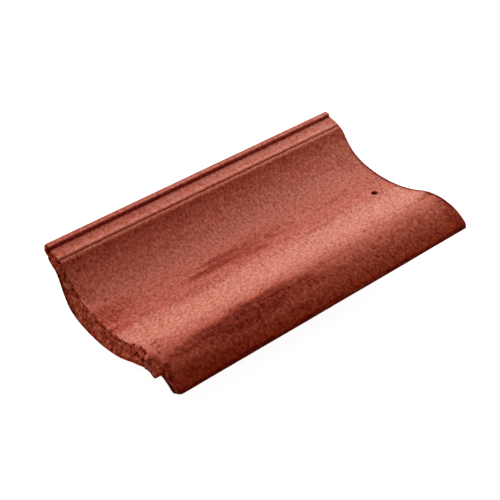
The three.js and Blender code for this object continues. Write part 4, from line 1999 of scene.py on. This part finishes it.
@dataclass(frozen=True)
class Lamp:
    """A square soft light: how far it leans from overhead, its bearing from -X towards +Y, and its power."""

    name: str
    lean: float
    bearing: float
    power: float
    size: float = 0.6
    distance: float = 1.3

    def build(self) -> None:
        """Hang the lamp and aim it at the tile."""
        data = bpy.data.lights.new(self.name, "AREA")
        data.shape = "SQUARE"
        data.size = self.size
        data.energy = self.power
        lean, bearing = math.radians(self.lean), math.radians(self.bearing)
        side = math.sin(lean)
        place = Vector((-side * math.cos(bearing), side * math.sin(bearing), math.cos(lean))) * self.distance
        lamp = bpy.data.objects.new(self.name, data)
        lamp.location = place
        lamp.rotation_euler = (-place).to_track_quat("-Z", "Y").to_euler()
        bpy.context.collection.objects.link(lamp)


@dataclass(frozen=True)
class Studio:
    """A pale floor, a soft key light low on the underlock's side, two weaker ones and a white surround.

    Attributes:
        lamps: the soft lights.
        ambient: strength of the surround's own light.
        floor_size: side of the floor in metres.
        floor_grey: how much of the lamps' light the floor gives back.
        floor_glow: how white the floor is besides, to the camera only.
    """

    lamps: tuple[Lamp, ...] = (
        Lamp("key", 71.1, -20, 15.6),
        Lamp("head_fill", 60, 90, 9.4),
        Lamp("front_fill", 83, -100, 2.5, 0.28),
    )
    ambient: float = 0.205
    floor_size: float = 30.0
    floor_grey: float = 0.5
    floor_glow: float = 0.92

    def floor(self) -> bpy.types.Object:
        """The floor: plain grey to the light, white to the camera, with the tile's soft shadow.

        Returns:
            The floor, staged outside the part.
        """
        half = self.floor_size / 2
        corners = [(-half, -half, 0.0), (half, -half, 0.0), (half, half, 0.0), (-half, half, 0.0)]
        floor = mesh_object("floor", corners, [[0, 1, 2, 3]])
        material = bpy.data.materials.new("pale_floor")
        nodes = Nodes.of(material)
        paint = nodes.add("BsdfDiffuse", (*[self.floor_grey] * 3, 1.0))
        level = nodes.add("Math", seen(nodes), self.floor_glow, operation="MULTIPLY")
        glow = nodes.add("Emission", WHITE, level)
        nodes.add("OutputMaterial", nodes.add("AddShader", paint, glow))
        floor.data.materials.append(material)
        return floor

    def surround(self) -> None:
        """The world: white where the camera sees it, soft even light otherwise."""
        world = bpy.data.worlds.new("surround")
        nodes = Nodes.of(world)
        shown = nodes.add("Background", WHITE, 1.0)
        fill = nodes.add("Background", WHITE, self.ambient)
        nodes.add("OutputWorld", nodes.add("MixShader", seen(nodes), fill, shown))
        bpy.context.scene.world = world

    def build(self) -> None:
        """Make the floor, the surround and the lamps."""
        self.floor()
        self.surround()
        for lamp in self.lamps:
            lamp.build()


@dataclass(frozen=True)
class TileCamera:
    """A long lens that looks down over the tail corner of the underlock's side, slightly rolled."""

    place: tuple[float, float, float] = (0.5819, -0.5680, 0.8880)
    azimuth: float = 46.22
    elevation: float = 46.65
    roll: float = 7.0
    focal_length: float = 81.16
    sensor: float = 36.0

    def build(self) -> None:
        """Make the camera and use it for the scene."""
        data = bpy.data.cameras.new("camera")
        data.lens = self.focal_length
        data.sensor_width = self.sensor
        camera = bpy.data.objects.new("camera", data)
        camera.location = self.place
        tilt, azimuth = math.radians(90 - self.elevation), math.radians(self.azimuth)
        turn = Euler((tilt, 0, azimuth), "XYZ").to_quaternion()
        roll = Euler((0, 0, math.radians(self.roll)), "XYZ").to_quaternion()
        camera.rotation_euler = (turn @ roll).to_euler()
        bpy.context.collection.objects.link(camera)
        bpy.context.scene.camera = camera


def main() -> None:
    """Build the camera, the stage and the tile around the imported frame."""
    logging.basicConfig(level=logging.INFO, format="%(name)s: %(message)s")
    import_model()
    bpy.context.scene.view_settings.view_transform = "Standard"
    TileCamera().build()
    Studio().build()
    sizes = TileSizes()
    low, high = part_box("tile_body")
    origin = Vector((low[0], high[1] - sizes.length * MM, low[2] - sizes.foot_level * MM))
    tile = Pantile(sizes, origin).build()
    tile.data.materials.clear()
    tile.data.materials.append(FiredClay(sizes).material())
    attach(tile, "root")
    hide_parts("tile_body")


if __name__ == "__main__":
    main()
